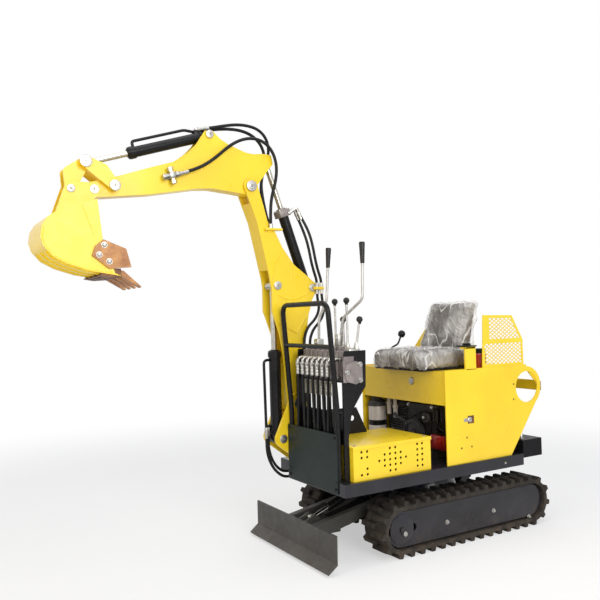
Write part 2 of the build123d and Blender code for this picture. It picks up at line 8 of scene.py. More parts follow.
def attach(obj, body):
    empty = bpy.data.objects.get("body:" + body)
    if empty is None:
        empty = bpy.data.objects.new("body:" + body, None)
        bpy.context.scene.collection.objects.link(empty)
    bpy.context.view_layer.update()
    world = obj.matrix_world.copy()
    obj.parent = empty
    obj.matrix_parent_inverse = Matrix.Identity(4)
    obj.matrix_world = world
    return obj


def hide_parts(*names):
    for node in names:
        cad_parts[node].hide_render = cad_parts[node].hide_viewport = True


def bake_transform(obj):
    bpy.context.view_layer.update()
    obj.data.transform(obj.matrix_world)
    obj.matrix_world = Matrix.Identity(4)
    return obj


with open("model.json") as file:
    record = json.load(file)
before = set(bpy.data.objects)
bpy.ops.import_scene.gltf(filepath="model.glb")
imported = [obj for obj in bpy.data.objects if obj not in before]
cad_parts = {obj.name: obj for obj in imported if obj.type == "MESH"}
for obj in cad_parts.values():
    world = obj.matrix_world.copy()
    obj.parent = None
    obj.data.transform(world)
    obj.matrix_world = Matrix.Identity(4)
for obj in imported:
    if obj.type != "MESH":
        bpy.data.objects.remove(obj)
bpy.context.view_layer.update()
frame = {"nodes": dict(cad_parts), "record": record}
scene = bpy.context.scene
scene.view_settings.view_transform = "Standard"

# Studio: a pale round floor under soft light, with white all round.
# The key light stands on the machine's left, where the paint is brightest,
# and the camera stands at the machine's front left corner, at chest height.
FLOOR_R = 14
FLOOR_SIDES = 64
FLOOR_FADE = (2.2, 5.5)
ROOM_LIGHT = 0.42
JOINTS = {joint["name"]: joint for joint in frame["record"]["behaviour"]["joints"]}
TURN_X = JOINTS["slew"]["pos_m"][0]
CAMERA_AT = Vector((2.7934 + TURN_X, 3.2557, 1.2688))
CAMERA_YAW = radians(238.99)
CAMERA_PITCH = radians(1.438)
CAMERA_ROLL = radians(-1.518)
FOCAL_PIXELS = 690.4
PICTURE_PIXELS = 600


def nodes_of(material):
    """Node tree of a fresh material, and its shader."""
    material.use_nodes = True
    tree = material.node_tree
    return tree, tree.nodes["Principled BSDF"]


def link(tree, a, b):
    """Joins an output socket to an input socket."""
    tree.links.new(a, b)


def set_inputs(node, **values):
    """Sets inputs of a node by their names, with _ for a space."""
    for name, value in values.items():
        node.inputs[name.replace("_", " ")].default_value = value
    return node


def added(tree, kind, **values):
    """New node of a kind, with values for its inputs."""
    return set_inputs(tree.nodes.new("ShaderNode" + kind), **values)


def work_out(tree, operation, a, b):
    """Two values joined by one sum."""
    made = added(tree, "Math")
    made.operation = operation
    link(tree, a, made.inputs[0])
    link(tree, b, made.inputs[1])
    return made.outputs[0]


def blended(tree, share, a, b, output):
    """Shows one shader or another at an output, by a share."""
    mix = added(tree, "MixShader")
    for socket, value in zip(mix.inputs, (share, a.outputs[0], b.outputs[0])):
        link(tree, value, socket)
    link(tree, mix.outputs[0], tree.nodes[output].inputs["Surface"])


def ring(x, y, radius, count):
    """Even points round a circle."""
    turns = [2 * pi * i / count for i in range(count)]
    return [(x + radius * cos(t), y + radius * sin(t)) for t in turns]


level = cos(CAMERA_PITCH)
forward = Vector((cos(CAMERA_YAW) * level, sin(CAMERA_YAW) * level, sin(CAMERA_PITCH)))
right = forward.cross(Vector((0, 0, 1))).normalized()
up = right.cross(forward)
tilted_right = right * cos(CAMERA_ROLL) + up * sin(CAMERA_ROLL)
tilted_up = up * cos(CAMERA_ROLL) - right * sin(CAMERA_ROLL)
camera = bpy.data.objects.new("camera", bpy.data.cameras.new("camera"))
scene.collection.objects.link(camera)
turned_to = Matrix((tilted_right, tilted_up, -forward)).transposed().to_4x4()
camera.matrix_world = Matrix.Translation(CAMERA_AT) @ turned_to
camera.data.sensor_width = 36
camera.data.lens = FOCAL_PIXELS / PICTURE_PIXELS * camera.data.sensor_width
camera.data.clip_end = 100
scene.camera = camera


def lamp(name, place, aim, size, watts, colour):
    """Square soft light at a place, turned to a point."""
    data = bpy.data.lights.new(name, "AREA")
    data.shape = "SQUARE"
    data.size = size
    data.energy = watts
    data.color = colour
    light = bpy.data.objects.new(name, data)
    light.location = place
    light.rotation_euler = (Vector(aim) - Vector(place)).to_track_quat("-Z", "Y").to_euler()
    scene.collection.objects.link(light)


lamp("key", (0.6, 5.6, 3.2), (-0.3, 0, 0.9), 3.5, 215, (1, 0.99, 0.97))
lamp("front", (5.5, 1.2, 2.6), (0.2, 0, 1.0), 2.5, 78, (1, 0.88, 0.72))
lamp("top", (-0.2, 0.3, 5.2), (-0.2, 0, 0), 4, 85, (0.97, 0.98, 1))

world = bpy.data.worlds.new("white_room")
scene.world = world
world.use_nodes = True
sky = world.node_tree
seen = added(sky, "LightPath").outputs
straight = work_out(sky, "MAXIMUM", seen["Is Camera Ray"], seen["Is Transmission Ray"])
shown = work_out(sky, "MAXIMUM", straight, seen["Is Glossy Ray"])
room = set_inputs(sky.nodes["Background"], Color=(0.95, 0.97, 1, 1), Strength=ROOM_LIGHT)
white = added(sky, "Background", Color=(1, 1, 1, 1), Strength=1)
blended(sky, shown, room, white, "World Output")

floor_mesh = bpy.data.meshes.new("floor")
rim = [(x, y, 0) for x, y in ring(0, 0, FLOOR_R, FLOOR_SIDES)]
floor_mesh.from_pydata(rim, [], [range(FLOOR_SIDES)])
floor = bpy.data.objects.new("floor", floor_mesh)
scene.collection.objects.link(floor)
pale = bpy.data.materials.new("pale_floor")
tree, shader = nodes_of(pale)
set_inputs(shader, Base_Color=(0.93, 0.93, 0.94, 1), Roughness=0.9)
reach = added(tree, "VectorMath")
reach.operation = "LENGTH"
link(tree, added(tree, "TexCoord").outputs["Object"], reach.inputs[0])
fade = added(tree, "MapRange", From_Min=FLOOR_FADE[0], From_Max=FLOOR_FADE[1], To_Min=0.5)
fade.interpolation_type = "SMOOTHSTEP"
link(tree, reach.outputs["Value"], fade.inputs["Value"])
camera_ray = added(tree, "LightPath").outputs["Is Camera Ray"]
only_seen = work_out(tree, "MULTIPLY", fade.outputs["Result"], camera_ray)
blended(tree, only_seen, shader, added(tree, "Emission", Color=(1, 1, 1, 1)), "Material Output")
floor.data.materials.append(pale)

# Rubber tracks: endless bands of black rubber with moulded lugs, dull, and brown with dry soil.
# Each is one loop, and its own tension holds it on the wheels inside it.
SOIL = (0.17, 0.125, 0.085)
CORNER = radians(40)


def field(tree, spot, scale, detail=3):
    """Soft random clouds over a surface, of a size in waves to the metre."""
    clouds = added(tree, "TexNoise", Scale=scale, Detail=detail)
    link(tree, spot, clouds.inputs["Vector"])
    return clouds.outputs["Fac"]


def spread(tree, value, low, high, to_low, to_high):
    """Value stretched from one range to another, held at its ends."""
    span = added(tree, "MapRange", From_Min=low, From_Max=high, To_Min=to_low, To_Max=to_high)
    link(tree, value, span.inputs["Value"])
    return span.outputs["Result"]


def tint(tree, share, a, b):
    """Colour between two, each a colour or a socket."""
    mix = added(tree, "Mix")
    mix.data_type = "RGBA"
    link(tree, share, mix.inputs[0])
    for socket, colour in ((mix.inputs[6], a), (mix.inputs[7], b)):
        if isinstance(colour, tuple):
            socket.default_value = (*colour, 1)
        else:
            link(tree, colour, socket)
    return mix.outputs[2]


def finish(
    name, tones, rough, metal=0, coat=0, shine=0.5, patch=8, grain=350, relief=0.12, dust=None,
    edge=0.0015,
):
    """Surface in two tones with uneven gloss, a fine grain, softened edges and settled dust.

    dust is its colour, its most, and the heights in metres where it is thickest and where it ends.
    """
    made = bpy.data.materials.new(name)
    tree, shader = nodes_of(made)
    spot = added(tree, "TexCoord").outputs["Object"]
    set_inputs(shader, Metallic=metal, Specular_IOR_Level=shine, Coat_Weight=coat, Coat_Roughness=0.08)
    colour = tint(tree, spread(tree, field(tree, spot, patch, 4), 0.35, 0.65, 0, 1), *tones)
    gloss = spread(tree, field(tree, spot, patch * 6), 0.3, 0.7, rough * 0.8, rough * 1.25)
    if dust:
        soil, most, low, high = dust
        parts = added(tree, "SeparateXYZ")
        link(tree, spot, parts.inputs[0])
        fallen = spread(tree, parts.outputs["Z"], low, high, most, 0)
        blotch = spread(tree, field(tree, spot, 22, 6), 0.4, 0.68, 0.15, 1)
        settled = work_out(tree, "MULTIPLY", fallen, blotch)
        colour = tint(tree, settled, colour, soil)
        gloss = work_out(tree, "MAXIMUM", gloss, settled)
    link(tree, colour, shader.inputs["Base Color"])
    link(tree, gloss, shader.inputs["Roughness"])
    bump = added(tree, "Bump", Strength=relief, Distance=0.001)
    link(tree, field(tree, spot, grain, 2), bump.inputs["Height"])
    if edge:
        rounded = added(tree, "Bevel", Radius=edge)
        rounded.samples = 4
        link(tree, rounded.outputs[0], bump.inputs["Normal"])
    link(tree, bump.outputs[0], shader.inputs["Normal"])
    return made


def dress(material, *names):
    """Gives solids of the frame their finish, with round faces smooth and corners sharp."""
    for name in names:
        solid = frame["nodes"][name]
        mesh = solid.data
        if "custom_normal" in mesh.attributes:
            mesh.attributes.remove(mesh.attributes["custom_normal"])
        mesh.shade_smooth()
        solid.modifiers.new("weld", "WELD").merge_threshold = 1e-5
        solid.modifiers.new("corners", "EDGE_SPLIT").split_angle = CORNER
        mesh.materials.clear()
        mesh.materials.append(material)


rubber = finish(
    "track_rubber", ((0.034, 0.030, 0.027), (0.017, 0.015, 0.014)), 0.75, shine=0.2, grain=240, relief=0.5,
    dust=(SOIL, 0.4, 0.0, 0.42), edge=0.003,
)
dress(rubber, "track_left", "track_right")

# Track frames: two welded plates on each side that carry idler, rollers and drive wheel.
# They are steel under glossy black paint, and hex bolts hold the axles.
FRAME_FACE = 395
FRAME_BOLTS = [(174, 130), (-181, 134), (-472, 51)]
TO_FRAME = Matrix.Translation((TURN_X, 0, 0)) @ Matrix.Scale(0.001, 4)


def skin(bm, rings):
    """Joins rings of points into one closed surface."""
    for a, b in zip(rings, rings[1:]):
        for i in range(len(a)):
            bm.faces.new((a[i - 1], a[i], b[i], b[i - 1]))
    bm.faces.new(rings[0])
    bm.faces.new(rings[-1])


def turned(bm, at, along, profile, sides=24):
    """Round piece turned about a line: radii at distances along it."""
    along = Vector(along).normalized()
    across = along.orthogonal().normalized()
    other = along.cross(across)
    spokes = [across * c + other * s for c, s in ring(0, 0, 1, sides)]
    rings = []
    for distance, radius in profile:
        middle = Vector(at) + along * distance
        rings.append([bm.verts.new(middle + spoke * radius) for spoke in spokes])
    skin(bm, rings)


def bolt(bm, at, along, size):
    """Hex head on its washer, seated on a face."""
    turned(bm, at, along, [(-1, size * 0.75), (1.6, size * 0.75), (2, size * 0.7)], 20)
    turned(bm, at, along, [(1.5, size * 0.56), (size * 0.55, size * 0.56), (size * 0.65, size * 0.45)], 6)


def placed(bm, name, body, material):
    """Makes a smooth piece of one material, and sets it on the body that carries it."""
    mesh = bpy.data.meshes.new(name)
    bm.to_mesh(mesh)
    bm.free()
    mesh.shade_smooth()
    mesh.materials.append(material)
    made = bpy.data.objects.new(name, mesh)
    scene.collection.objects.link(made)
    if body:
        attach(made, body)
    return made


def finished(bm, name, body, material, drawn=TO_FRAME):
    """Places a piece of a drawing, by default in millimetres, and keeps its corners sharp."""
    bmesh.ops.recalc_face_normals(bm, faces=bm.faces)
    bmesh.ops.transform(bm, matrix=drawn, verts=bm.verts)
    made = placed(bm, name, body, material)
    made.data.set_sharp_from_angle(angle=CORNER)
    return made


frame_black = finish(
    "frame_black", ((0.022, 0.0215, 0.028), (0.012, 0.012, 0.015)), 0.2, coat=0.1, shine=0.32, patch=5,
    dust=(SOIL, 0.18, 0.0, 0.2),
)
zinc = finish(
    "zinc", ((0.52, 0.51, 0.48), (0.4, 0.39, 0.37)), 0.34, metal=1, patch=40, grain=600,
    edge=0.0006,
)
for side in ("left", "right"):
    dress(frame_black, f"track_frame_{side}", f"idler_{side}", f"sprocket_{side}", f"rollers_{side}")
bm = bmesh.new()
for side in (1, -1):
    for x, z in FRAME_BOLTS:
        bolt(bm, (x, side * FRAME_FACE, z), (0, side, 0), 17)
    bolt(bm, (477, side * (FRAME_FACE + 1), 123), (0, side, 0), 26)
finished(bm, "track_frame_bolts", "undercarriage", zinc)
bm = bmesh.new()
for side in (1, -1):
    turned(bm, (490, side * (FRAME_FACE - 1), 145), (0, side, 0), [(0, 78), (4, 78), (5, 76)], 48)
finished(bm, "idler_covers", "undercarriage", frame_black)

# Chassis, turning ring and travel motors: a welded steel box between the tracks.
# It carries the slewing ring on top and a hydraulic motor at the back of each side.
RING_BOLT_R = 196
RING_TOP = 205
UP = (0, 0, 1)
dress(frame_black, "chassis", "turning_ring_fixed", "travel_motors")
bm = bmesh.new()
for x, y in ring(0, 0, RING_BOLT_R, 20):
    bolt(bm, (x, y, RING_TOP), UP, 12)
finished(bm, "ring_bolts", "undercarriage", zinc)

# Dozer blade: rolled steel plate with a wear lip, welded to two arms and lifted by a cylinder.
# Its grey-green paint is rubbed brown along the lip.
LIP_BROWN = (0.075, 0.055, 0.045)
blade_grey = finish(
    "blade_grey", ((0.06, 0.058, 0.05), (0.042, 0.039, 0.034)), 0.5, patch=4, grain=180, relief=0.25,
    dust=(LIP_BROWN, 0.9, 0.012, 0.1),
)
gloss_black = finish(
    "gloss_black", ((0.012, 0.011, 0.0115), (0.007, 0.0065, 0.007)), 0.25, shine=0.2, patch=6,
)
chrome = finish(
    "chrome", ((0.56, 0.53, 0.46), (0.46, 0.44, 0.39)), 0.16, metal=1, patch=30, relief=0.02,
    edge=0,
)
BLADE_PIVOT = (400, 230)
dress(blade_grey, "blade")
dress(gloss_black, "blade_cylinder_barrel")
dress(chrome, "blade_cylinder_rod")
bm = bmesh.new()
for side in (1, -1):
    turned(bm, (BLADE_PIVOT[0], side * 143, BLADE_PIVOT[1]), (0, side, 0), [(-4, 16), (4, 16), (6, 13)], 20)
finished(bm, "blade_pins", "blade", zinc)

# Deck and counterweight: the turning platform's folded plate, with a cast block bolted to its tail.
# The deck is glossy black and shows the pale room as a lavender sheen, and the block is duller.
DECK_SIDE = 400
DECK_TOP = 428
TAIL_TOP = 505
dress(frame_black, "deck")
tail_black = finish(
    "tail_black", ((0.010, 0.009, 0.0105), (0.006, 0.0055, 0.0065)), 0.4, shine=0.12, patch=7,
    relief=0.3,
)
dress(tail_black, "counterweight")
bm = bmesh.new()
for side in (1, -1):
    bolt(bm, (-285, side * DECK_SIDE, 392), (0, side, 0), 9)
for y in (352, -352):
    turned(bm, (-478, y, TAIL_TOP), UP, [(-1, 15), (4, 15), (4, 9), (30, 9), (34, 6)], 16)
finished(bm, "deck_bolts", "upper", zinc)

# Engine bay: a grey cast engine with its pulley, pump and filter, open to view under the tank.
# Castings are bolted together, and the red cover and the filter stand in front of the block.
ENGINE_FRONT = 40
ENGINE_TOP = 728
FILTER_AT = (92, -312)
AHEAD = (1, 0, 0)


def block(bm, low, high, edge=2):
    """Box between two corners, its edges rounded."""
    corners = bmesh.ops.create_cube(bm, size=1)["verts"]
    for corner in corners:
        corner.co = [a + (b - a) * (share + 0.5) for a, b, share in zip(low, high, corner.co)]
    edges = list({rim for corner in corners for rim in corner.link_edges})
    bmesh.ops.bevel(
        bm, geom=edges, offset=edge, segments=2, profile=0.5, affect="EDGES", clamp_overlap=True,
    )


def bent(points, bend, steps=6):
    """Way of a bent bar: its corners rounded from a given reach each side."""
    points = [Vector(p) for p in points]
    way = [points[0]]
    for before, corner, after in zip(points, points[1:], points[2:]):
        start = corner + (before - corner).normalized() * bend
        end = corner + (after - corner).normalized() * bend
        for i in range(steps + 1):
            t = i / steps
            way.append(start * (1 - t) ** 2 + corner * (2 * t * (1 - t)) + end * t * t)
    return way + [points[-1]]


def tube(bm, points, radius, sides=12, pitch=0, groove=0):
    """Round bar or hose along points, closed at its ends, with a spiral groove where it has a pitch."""
    points = [Vector(p) for p in points]
    runs = [(b - a).normalized() for a, b in zip(points, points[1:])]
    side = runs[0].orthogonal().normalized()
    rings = []
    gone = 0
    for i, point in enumerate(points):
        gone += (point - points[i - 1]).length if i else 0
        ahead = (runs[max(i - 1, 0)] + runs[min(i, len(runs) - 1)]).normalized()
        side = (side - ahead * side.dot(ahead)).normalized()
        other = ahead.cross(side)
        ring = []
        for corner in range(sides):
            turn = 2 * pi * corner / sides
            cut = groove * max(0, cos(turn - 2 * pi * gone / pitch)) ** 2 if pitch else 0
            ring.append(bm.verts.new(point + (side * cos(turn) + other * sin(turn)) * (radius - cut)))
        rings.append(ring)
    skin(bm, rings)


engine_grey = finish(
    "engine_grey", ((0.06, 0.057, 0.055), (0.026, 0.025, 0.024)), 0.5, shine=0.25, patch=14, grain=160,
    relief=0.5,
)
dress(engine_grey, "engine")
bm = bmesh.new()
block(bm, (-320, -180, ENGINE_TOP), (-10, 110, 752), 5)
for i in range(9):
    block(bm, (ENGINE_FRONT, -220, 560 + 16 * i), (ENGINE_FRONT + 20, -70, 566 + 16 * i), 1.5)
    block(bm, (-350, 180, 560 + 16 * i), (-190, 200, 566 + 16 * i), 1.5)
pulley = [(0, 30), (16, 30), (16, 80), (22, 80), (27, 70), (33, 70), (38, 80), (46, 80), (46, 60)]
pulley += [(40, 56), (40, 20), (52, 20)]
turned(bm, (ENGINE_FRONT, 20, 560), AHEAD, pulley, 36)
turned(bm, (ENGINE_FRONT, 130, 660), AHEAD, [(0, 34), (34, 34), (40, 28), (40, 12), (48, 12)], 28)
block(bm, (ENGINE_FRONT, -60, 436), (ENGINE_FRONT + 26, 90, 470), 6)
finished(bm, "engine_castings", "upper", engine_grey)
bm = bmesh.new()
tube(bm, bent([(62, -20, 640), (62, 70, 690), (62, 160, 690), (62, 172, 600), (62, 120, 520)], 30), 5, 8)
turned(bm, (52, 205, 640), UP, [(0, 26), (70, 26), (76, 20), (76, 8), (92, 8)], 28)
tube(bm, bent([(52, 205, 640), (52, 205, 600), (20, 205, 580)], 18), 12, 12)
turned(
    bm, (150, 40, DECK_TOP), UP,
    [(0, 42), (18, 42), (18, 34), (120, 34), (132, 26), (132, 14), (158, 14)], 28,
)
tube(bm, bent([(150, 40, 580), (150, 40, 640), (150, -60, 660), (100, -120, 660)], 30), 11, 12)
finished(bm, "engine_pump", "upper", gloss_black)
bm = bmesh.new()
for y, z in ((-230, 445), (-230, 545), (110, 445), (150, 545), (-60, 718), (150, 718)):
    bolt(bm, (ENGINE_FRONT, y, z), AHEAD, 16)
for x in (-300, -200, -100, -30):
    bolt(bm, (x, 80, 752), UP, 13)
    bolt(bm, (x, -150, 752), UP, 13)
turned(bm, (40, 130, 660), AHEAD, [(47, 10), (53, 10), (54, 8)], 6)
finished(bm, "engine_bolts", "upper", zinc)
red_paint = finish("red_paint", ((0.5, 0.022, 0.016), (0.36, 0.014, 0.012)), 0.3, coat=0.35, patch=16)
bm = bmesh.new()
block(bm, (ENGINE_FRONT, 150, 481), (68, 275, 565), 10)
block(bm, (68, 168, 495), (75, 257, 551), 4)
finished(bm, "red_cover", "upper", red_paint)
can_white = finish("can_white", ((0.66, 0.6, 0.54), (0.52, 0.46, 0.41)), 0.35, coat=0.3, patch=12)
bm = bmesh.new()
turned(bm, (*FILTER_AT, 531), UP, [(0, 50), (6, 56), (150, 56), (158, 54), (164, 48)], 40)
for y, low in ((-196, 648), (-136, 632)):
    turned(
        bm, (84, y, low), UP,
        [(0, 11), (6, 14), (60, 14), (62, 17), (78, 17), (80, 12), (757 - low, 12)], 20,
    )
finished(bm, "filter_can", "upper", can_white)
bm = bmesh.new()
turned(bm, (*FILTER_AT, 572), UP, [(0, 56.8), (32, 56.8)], 40)
turned(bm, (*FILTER_AT, 478), UP, [(0, 26), (53, 26)], 24)
turned(bm, (*FILTER_AT, DECK_TOP), UP, [(0, 40), (50, 36)], 24)
finished(bm, "filter_band", "upper", gloss_black)
bm = bmesh.new()
turned(bm, (*FILTER_AT, 690), UP, [(0, 50), (4, 57), (26, 57), (34, 48), (40, 34), (67, 34)], 40)
finished(bm, "filter_head", "upper", engine_grey)

# Side panels, top plate and tank: folded sheet steel in bright yellow, welded at the corners.
# Each panel ends in a tie ring at the back, and gussets carry a cross bar between the two rings.
PANEL_FACE = 388
PANEL_IN = 382
TOP_PLATE = [(-144, 947), (-470, 947), (-470, 918), (-466, 918), (-466, 943), (-144, 943)]
GUSSET = [(-492, 940), (-524, 938), (-633, 840), (-633, 786), (-604, 786), (-604, 826)]
LATCH = (-21, 667)
PANEL_SCREWS = [(42, 514), (-1, 569), (-36, 515), (-389, 841), (-385, 752)]
yellow = finish(
    "yellow_paint", ((0.93, 0.68, 0.021), (0.885, 0.605, 0.018)), 0.32, coat=0.2, patch=3, grain=500,
    relief=0.06,
)
ACROSS = {"x": lambda a, b, c: (c, a, b), "y": lambda a, b, c: (a, c, b), "z": lambda a, b, c: (a, b, c)}


def slab(bm, outline, axis, low, high):
    """Flat plate with a polygon outline, between two places along an axis."""
    order = ACROSS[axis]
    near = [bm.verts.new(order(a, b, low)) for a, b in outline]
    far = [bm.verts.new(order(a, b, high)) for a, b in outline]
    bm.faces.new(near)
    bm.faces.new(far)
    for i in range(len(near)):
        bm.faces.new((near[i - 1], near[i], far[i], far[i - 1]))


dress(yellow, "side_panel_left", "side_panel_right", "rear_bar", "tank")
bm = bmesh.new()
slab(bm, TOP_PLATE, "y", -PANEL_IN, PANEL_IN)
for low, high in ((PANEL_IN - 8, PANEL_IN), (-PANEL_IN, 8 - PANEL_IN)):
    slab(bm, GUSSET, "y", low, high)
slab(bm, [(-633, 840), (-628, 840), (-628, 786), (-633, 786)], "y", -PANEL_IN, PANEL_IN)
finished(bm, "rear_top", "upper", yellow)
bm = bmesh.new()
slab(bm, [(-90, 946), (-10, 946), (-10, 1070), (-14, 1076), (-86, 1076), (-90, 1070)], "y", 376, PANEL_FACE)
block(bm, (-90, 344, 1064), (-10, 388, 1076), 2)
block(bm, (-90, 352, 952), (-84, 378, 1066), 1.5)
finished(bm, "seat_post", "upper", yellow)
bm = bmesh.new()
block(bm, (-96, 318, 1076), (-6, 392, 1084), 2)
block(bm, (-70, 330, 1084), (-40, 372, 1096), 3)
finished(bm, "post_bracket", "upper", gloss_black)
copper_dark = finish("copper_dark", ((0.2, 0.085, 0.03), (0.09, 0.035, 0.016)), 0.4, metal=0.4, patch=30)
bm = bmesh.new()
block(
    bm, (LATCH[0] - 38, PANEL_FACE - 1, LATCH[1] - 22),
    (LATCH[0] + 10, PANEL_FACE + 1.2, LATCH[1] + 22), 1,
)
finished(bm, "latch_recess", "upper", copper_dark)
bm = bmesh.new()
turned(
    bm, (LATCH[0] - 4, PANEL_FACE + 1, LATCH[1]), (0, 1, 0),
    [(0, 15), (3, 15), (5, 12), (5, 6), (3, 5)], 24,
)
block(bm, (LATCH[0] + 4, PANEL_FACE - 1, LATCH[1] - 9), (LATCH[0] + 40, PANEL_FACE + 2, LATCH[1] + 9), 1)
turned(bm, (142, 98, 878), AHEAD, [(-1, 22), (5, 22), (8, 18), (8, 12), (5, 11)], 28)
turned(bm, (60, -300, 945), UP, [(-1, 34), (10, 34), (10, 40), (26, 40), (30, 36)], 32)
finished(bm, "panel_fittings", "upper", zinc)
bm = bmesh.new()
for x, z in PANEL_SCREWS:
    for side in (1, -1):
        turned(bm, (x, side * PANEL_FACE, z), (0, side, 0), [(-1, 5.5), (1.4, 5.5), (2, 4)], 12)
finished(bm, "panel_screws", "upper", copper_dark)

# Mesh guard: yellow sheet with two fields of punched diamonds on the left panel, to keep hands off
# the hot end of the engine. The right panel has a plain sheet cut on a slope, and both are welded on.
GUARD_EDGE = [(-143, 952), (-157, 1254), (-396, 1249), (-483, 1103), (-484, 952)]
LOW_FIELD = [(-166, 968), (-166, 1086), (-470, 1086), (-470, 968)]
HIGH_FIELD = [(-205, 1112), (-208, 1236), (-388, 1234), (-462, 1112)]
DIAMOND = (34, 22)
STRAND = 4.2
SHEET = (380, 384)
PLAIN_EDGE = [(-275, 952), (-275, 1028), (-440, 1220), (-484, 1220), (-484, 952)]


def sheet_metal(bm, outline, holes, axis, low, high):
    """Plate with a polygon outline and cut holes, between two places along an axis."""
    order = ACROSS[axis]
    rims = []
    for loop in [outline, *holes]:
        corners = [bm.verts.new(order(a, b, low)) for a, b in loop]
        rims += [bm.edges.new((corners[i - 1], corners[i])) for i in range(len(corners))]
    filled = bmesh.ops.triangle_fill(bm, use_beauty=True, use_dissolve=False, edges=rims)["geom"]
    faces = [f for f in filled if isinstance(f, bmesh.types.BMFace)]
    raised = bmesh.ops.extrude_face_region(bm, geom=faces)["geom"]
    corners = [v for v in raised if isinstance(v, bmesh.types.BMVert)]
    bmesh.ops.translate(bm, vec=Vector(order(0, 0, high - low)), verts=corners)


def cut_line(outline, start, end):
    """Ends of the part of a line that lies inside a convex outline, or nothing."""
    first, last = 0.0, 1.0
    turn = sum(a[0] * b[1] - b[0] * a[1] for a, b in zip(outline, outline[1:] + outline[:1]))
    for a, b in zip(outline, outline[1:] + outline[:1]):
        inward = (-(b[1] - a[1]), b[0] - a[0]) if turn > 0 else (b[1] - a[1], -(b[0] - a[0]))
        depth = (start[0] - a[0]) * inward[0] + (start[1] - a[1]) * inward[1]
        gain = (end[0] - start[0]) * inward[0] + (end[1] - start[1]) * inward[1]
        if abs(gain) < 1e-9:
            if depth < 0:
                return None
        elif gain > 0:
            first = max(first, -depth / gain)
        else:
            last = min(last, -depth / gain)
    if first >= last:
        return None
    return [(start[0] + (end[0] - start[0]) * t, start[1] + (end[1] - start[1]) * t) for t in (first, last)]


def diamond_mesh(bm, outline, y):
    """Strands of a diamond mesh that fill an outline."""
    low_x, high_x = min(p[0] for p in outline), max(p[0] for p in outline)
    low_z, high_z = min(p[1] for p in outline), max(p[1] for p in outline)
    lean = DIAMOND[0] / DIAMOND[1] * (high_z - low_z)
    count = int((high_x - low_x + lean) / DIAMOND[0]) + 2
    for way, offset in ((1, -0.6), (-1, 0.6)):
        for i in range(count):
            x = low_x - (lean if way > 0 else 0) + DIAMOND[0] * i
            ends = cut_line(outline, (x, low_z), (x + way * lean, high_z))
            if ends:
                (ax, az), (bx, bz) = ends
                run = Vector((bx - ax, bz - az))
                if run.length < 2:
                    continue
                side = Vector((-run.y, run.x)).normalized() * STRAND / 2
                strip = [(ax + side.x, az + side.y), (bx + side.x, bz + side.y)]
                strip += [(bx - side.x, bz - side.y), (ax - side.x, az - side.y)]
                slab(bm, strip, "y", y + offset - 1.2, y + offset + 1.2)


bm = bmesh.new()
sheet_metal(bm, GUARD_EDGE, [LOW_FIELD, HIGH_FIELD], "y", *SHEET)
for zone in (LOW_FIELD, HIGH_FIELD):
    diamond_mesh(bm, zone, sum(SHEET) / 2)
made = finished(bm, "mesh_guard_sheet", "upper", yellow)
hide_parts("mesh_guard")
bm = bmesh.new()
slab(bm, PLAIN_EDGE, "y", -SHEET[1], -SHEET[0])
finished(bm, "plain_guard", "upper", yellow)

# Seat: a foam cushion and backrest in dark vinyl on a pressed pan, still in its clear film.
# The film is thin plastic pulled over both pads, crinkled and tucked under at the edges.
CUSHION = ((-118, -158, 957), (244, 292, 1052))
BACK_SIDE = (-142, 244)
BACK_TAPER = 44
BACK_FOOT = 985
BACK_RISE = 350
BACK = [
    (-126, 985), (-124, 1085), (-192, 1328), (-212, 1338), (-250, 1336), (-262, 1322), (-196, 1060),
    (-186, 985),
]
PAD_GRID = 0.0075
PAD_SWELL = 0.01
PAD_PRESSURE = 4
PAD_STEPS = 20
FILM_LIFT = 0.003


def plump(bm, name, cap):
    """Stuffed cover: an even net over a drawn pad, blown up by cloth pressure no further than a cap."""
    pad = finished(bm, name, None, vinyl)
    even = pad.modifiers.new("even", "REMESH")
    even.mode = "VOXEL"
    even.voxel_size = PAD_GRID
    net = bpy.data.meshes.new_from_object(pad.evaluated_get(bpy.context.evaluated_depsgraph_get()))
    pad.modifiers.clear()
    pad.data = net
    start = [v.co.copy() for v in net.vertices]
    cloth = pad.modifiers.new("cloth", "CLOTH")
    cloth.settings.use_pressure = True
    cloth.settings.uniform_pressure_force = PAD_PRESSURE
    cloth.settings.effector_weights.gravity = 0
    for step in range(1, PAD_STEPS + 1):
        scene.frame_set(step)
    blown = bpy.data.meshes.new_from_object(pad.evaluated_get(bpy.context.evaluated_depsgraph_get()))
    pad.modifiers.clear()
    scene.frame_set(1)
    for corner, before, after in zip(net.vertices, start, blown.vertices):
        move = after.co - before
        corner.co = before + move * min(1, cap / max(move.length, 1e-9))
    net.materials.clear()
    net.materials.append(vinyl)
    net.shade_smooth()
    pad.modifiers.new("smooth", "SUBSURF").levels = 1
    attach(pad, "upper")
    return pad


def crease(place):
    """Ridge of a drawn fold: 1 along its line, and 0 away from it."""
    return max(0, 1 - 2.6 * abs(noise.noise(place))) ** 4


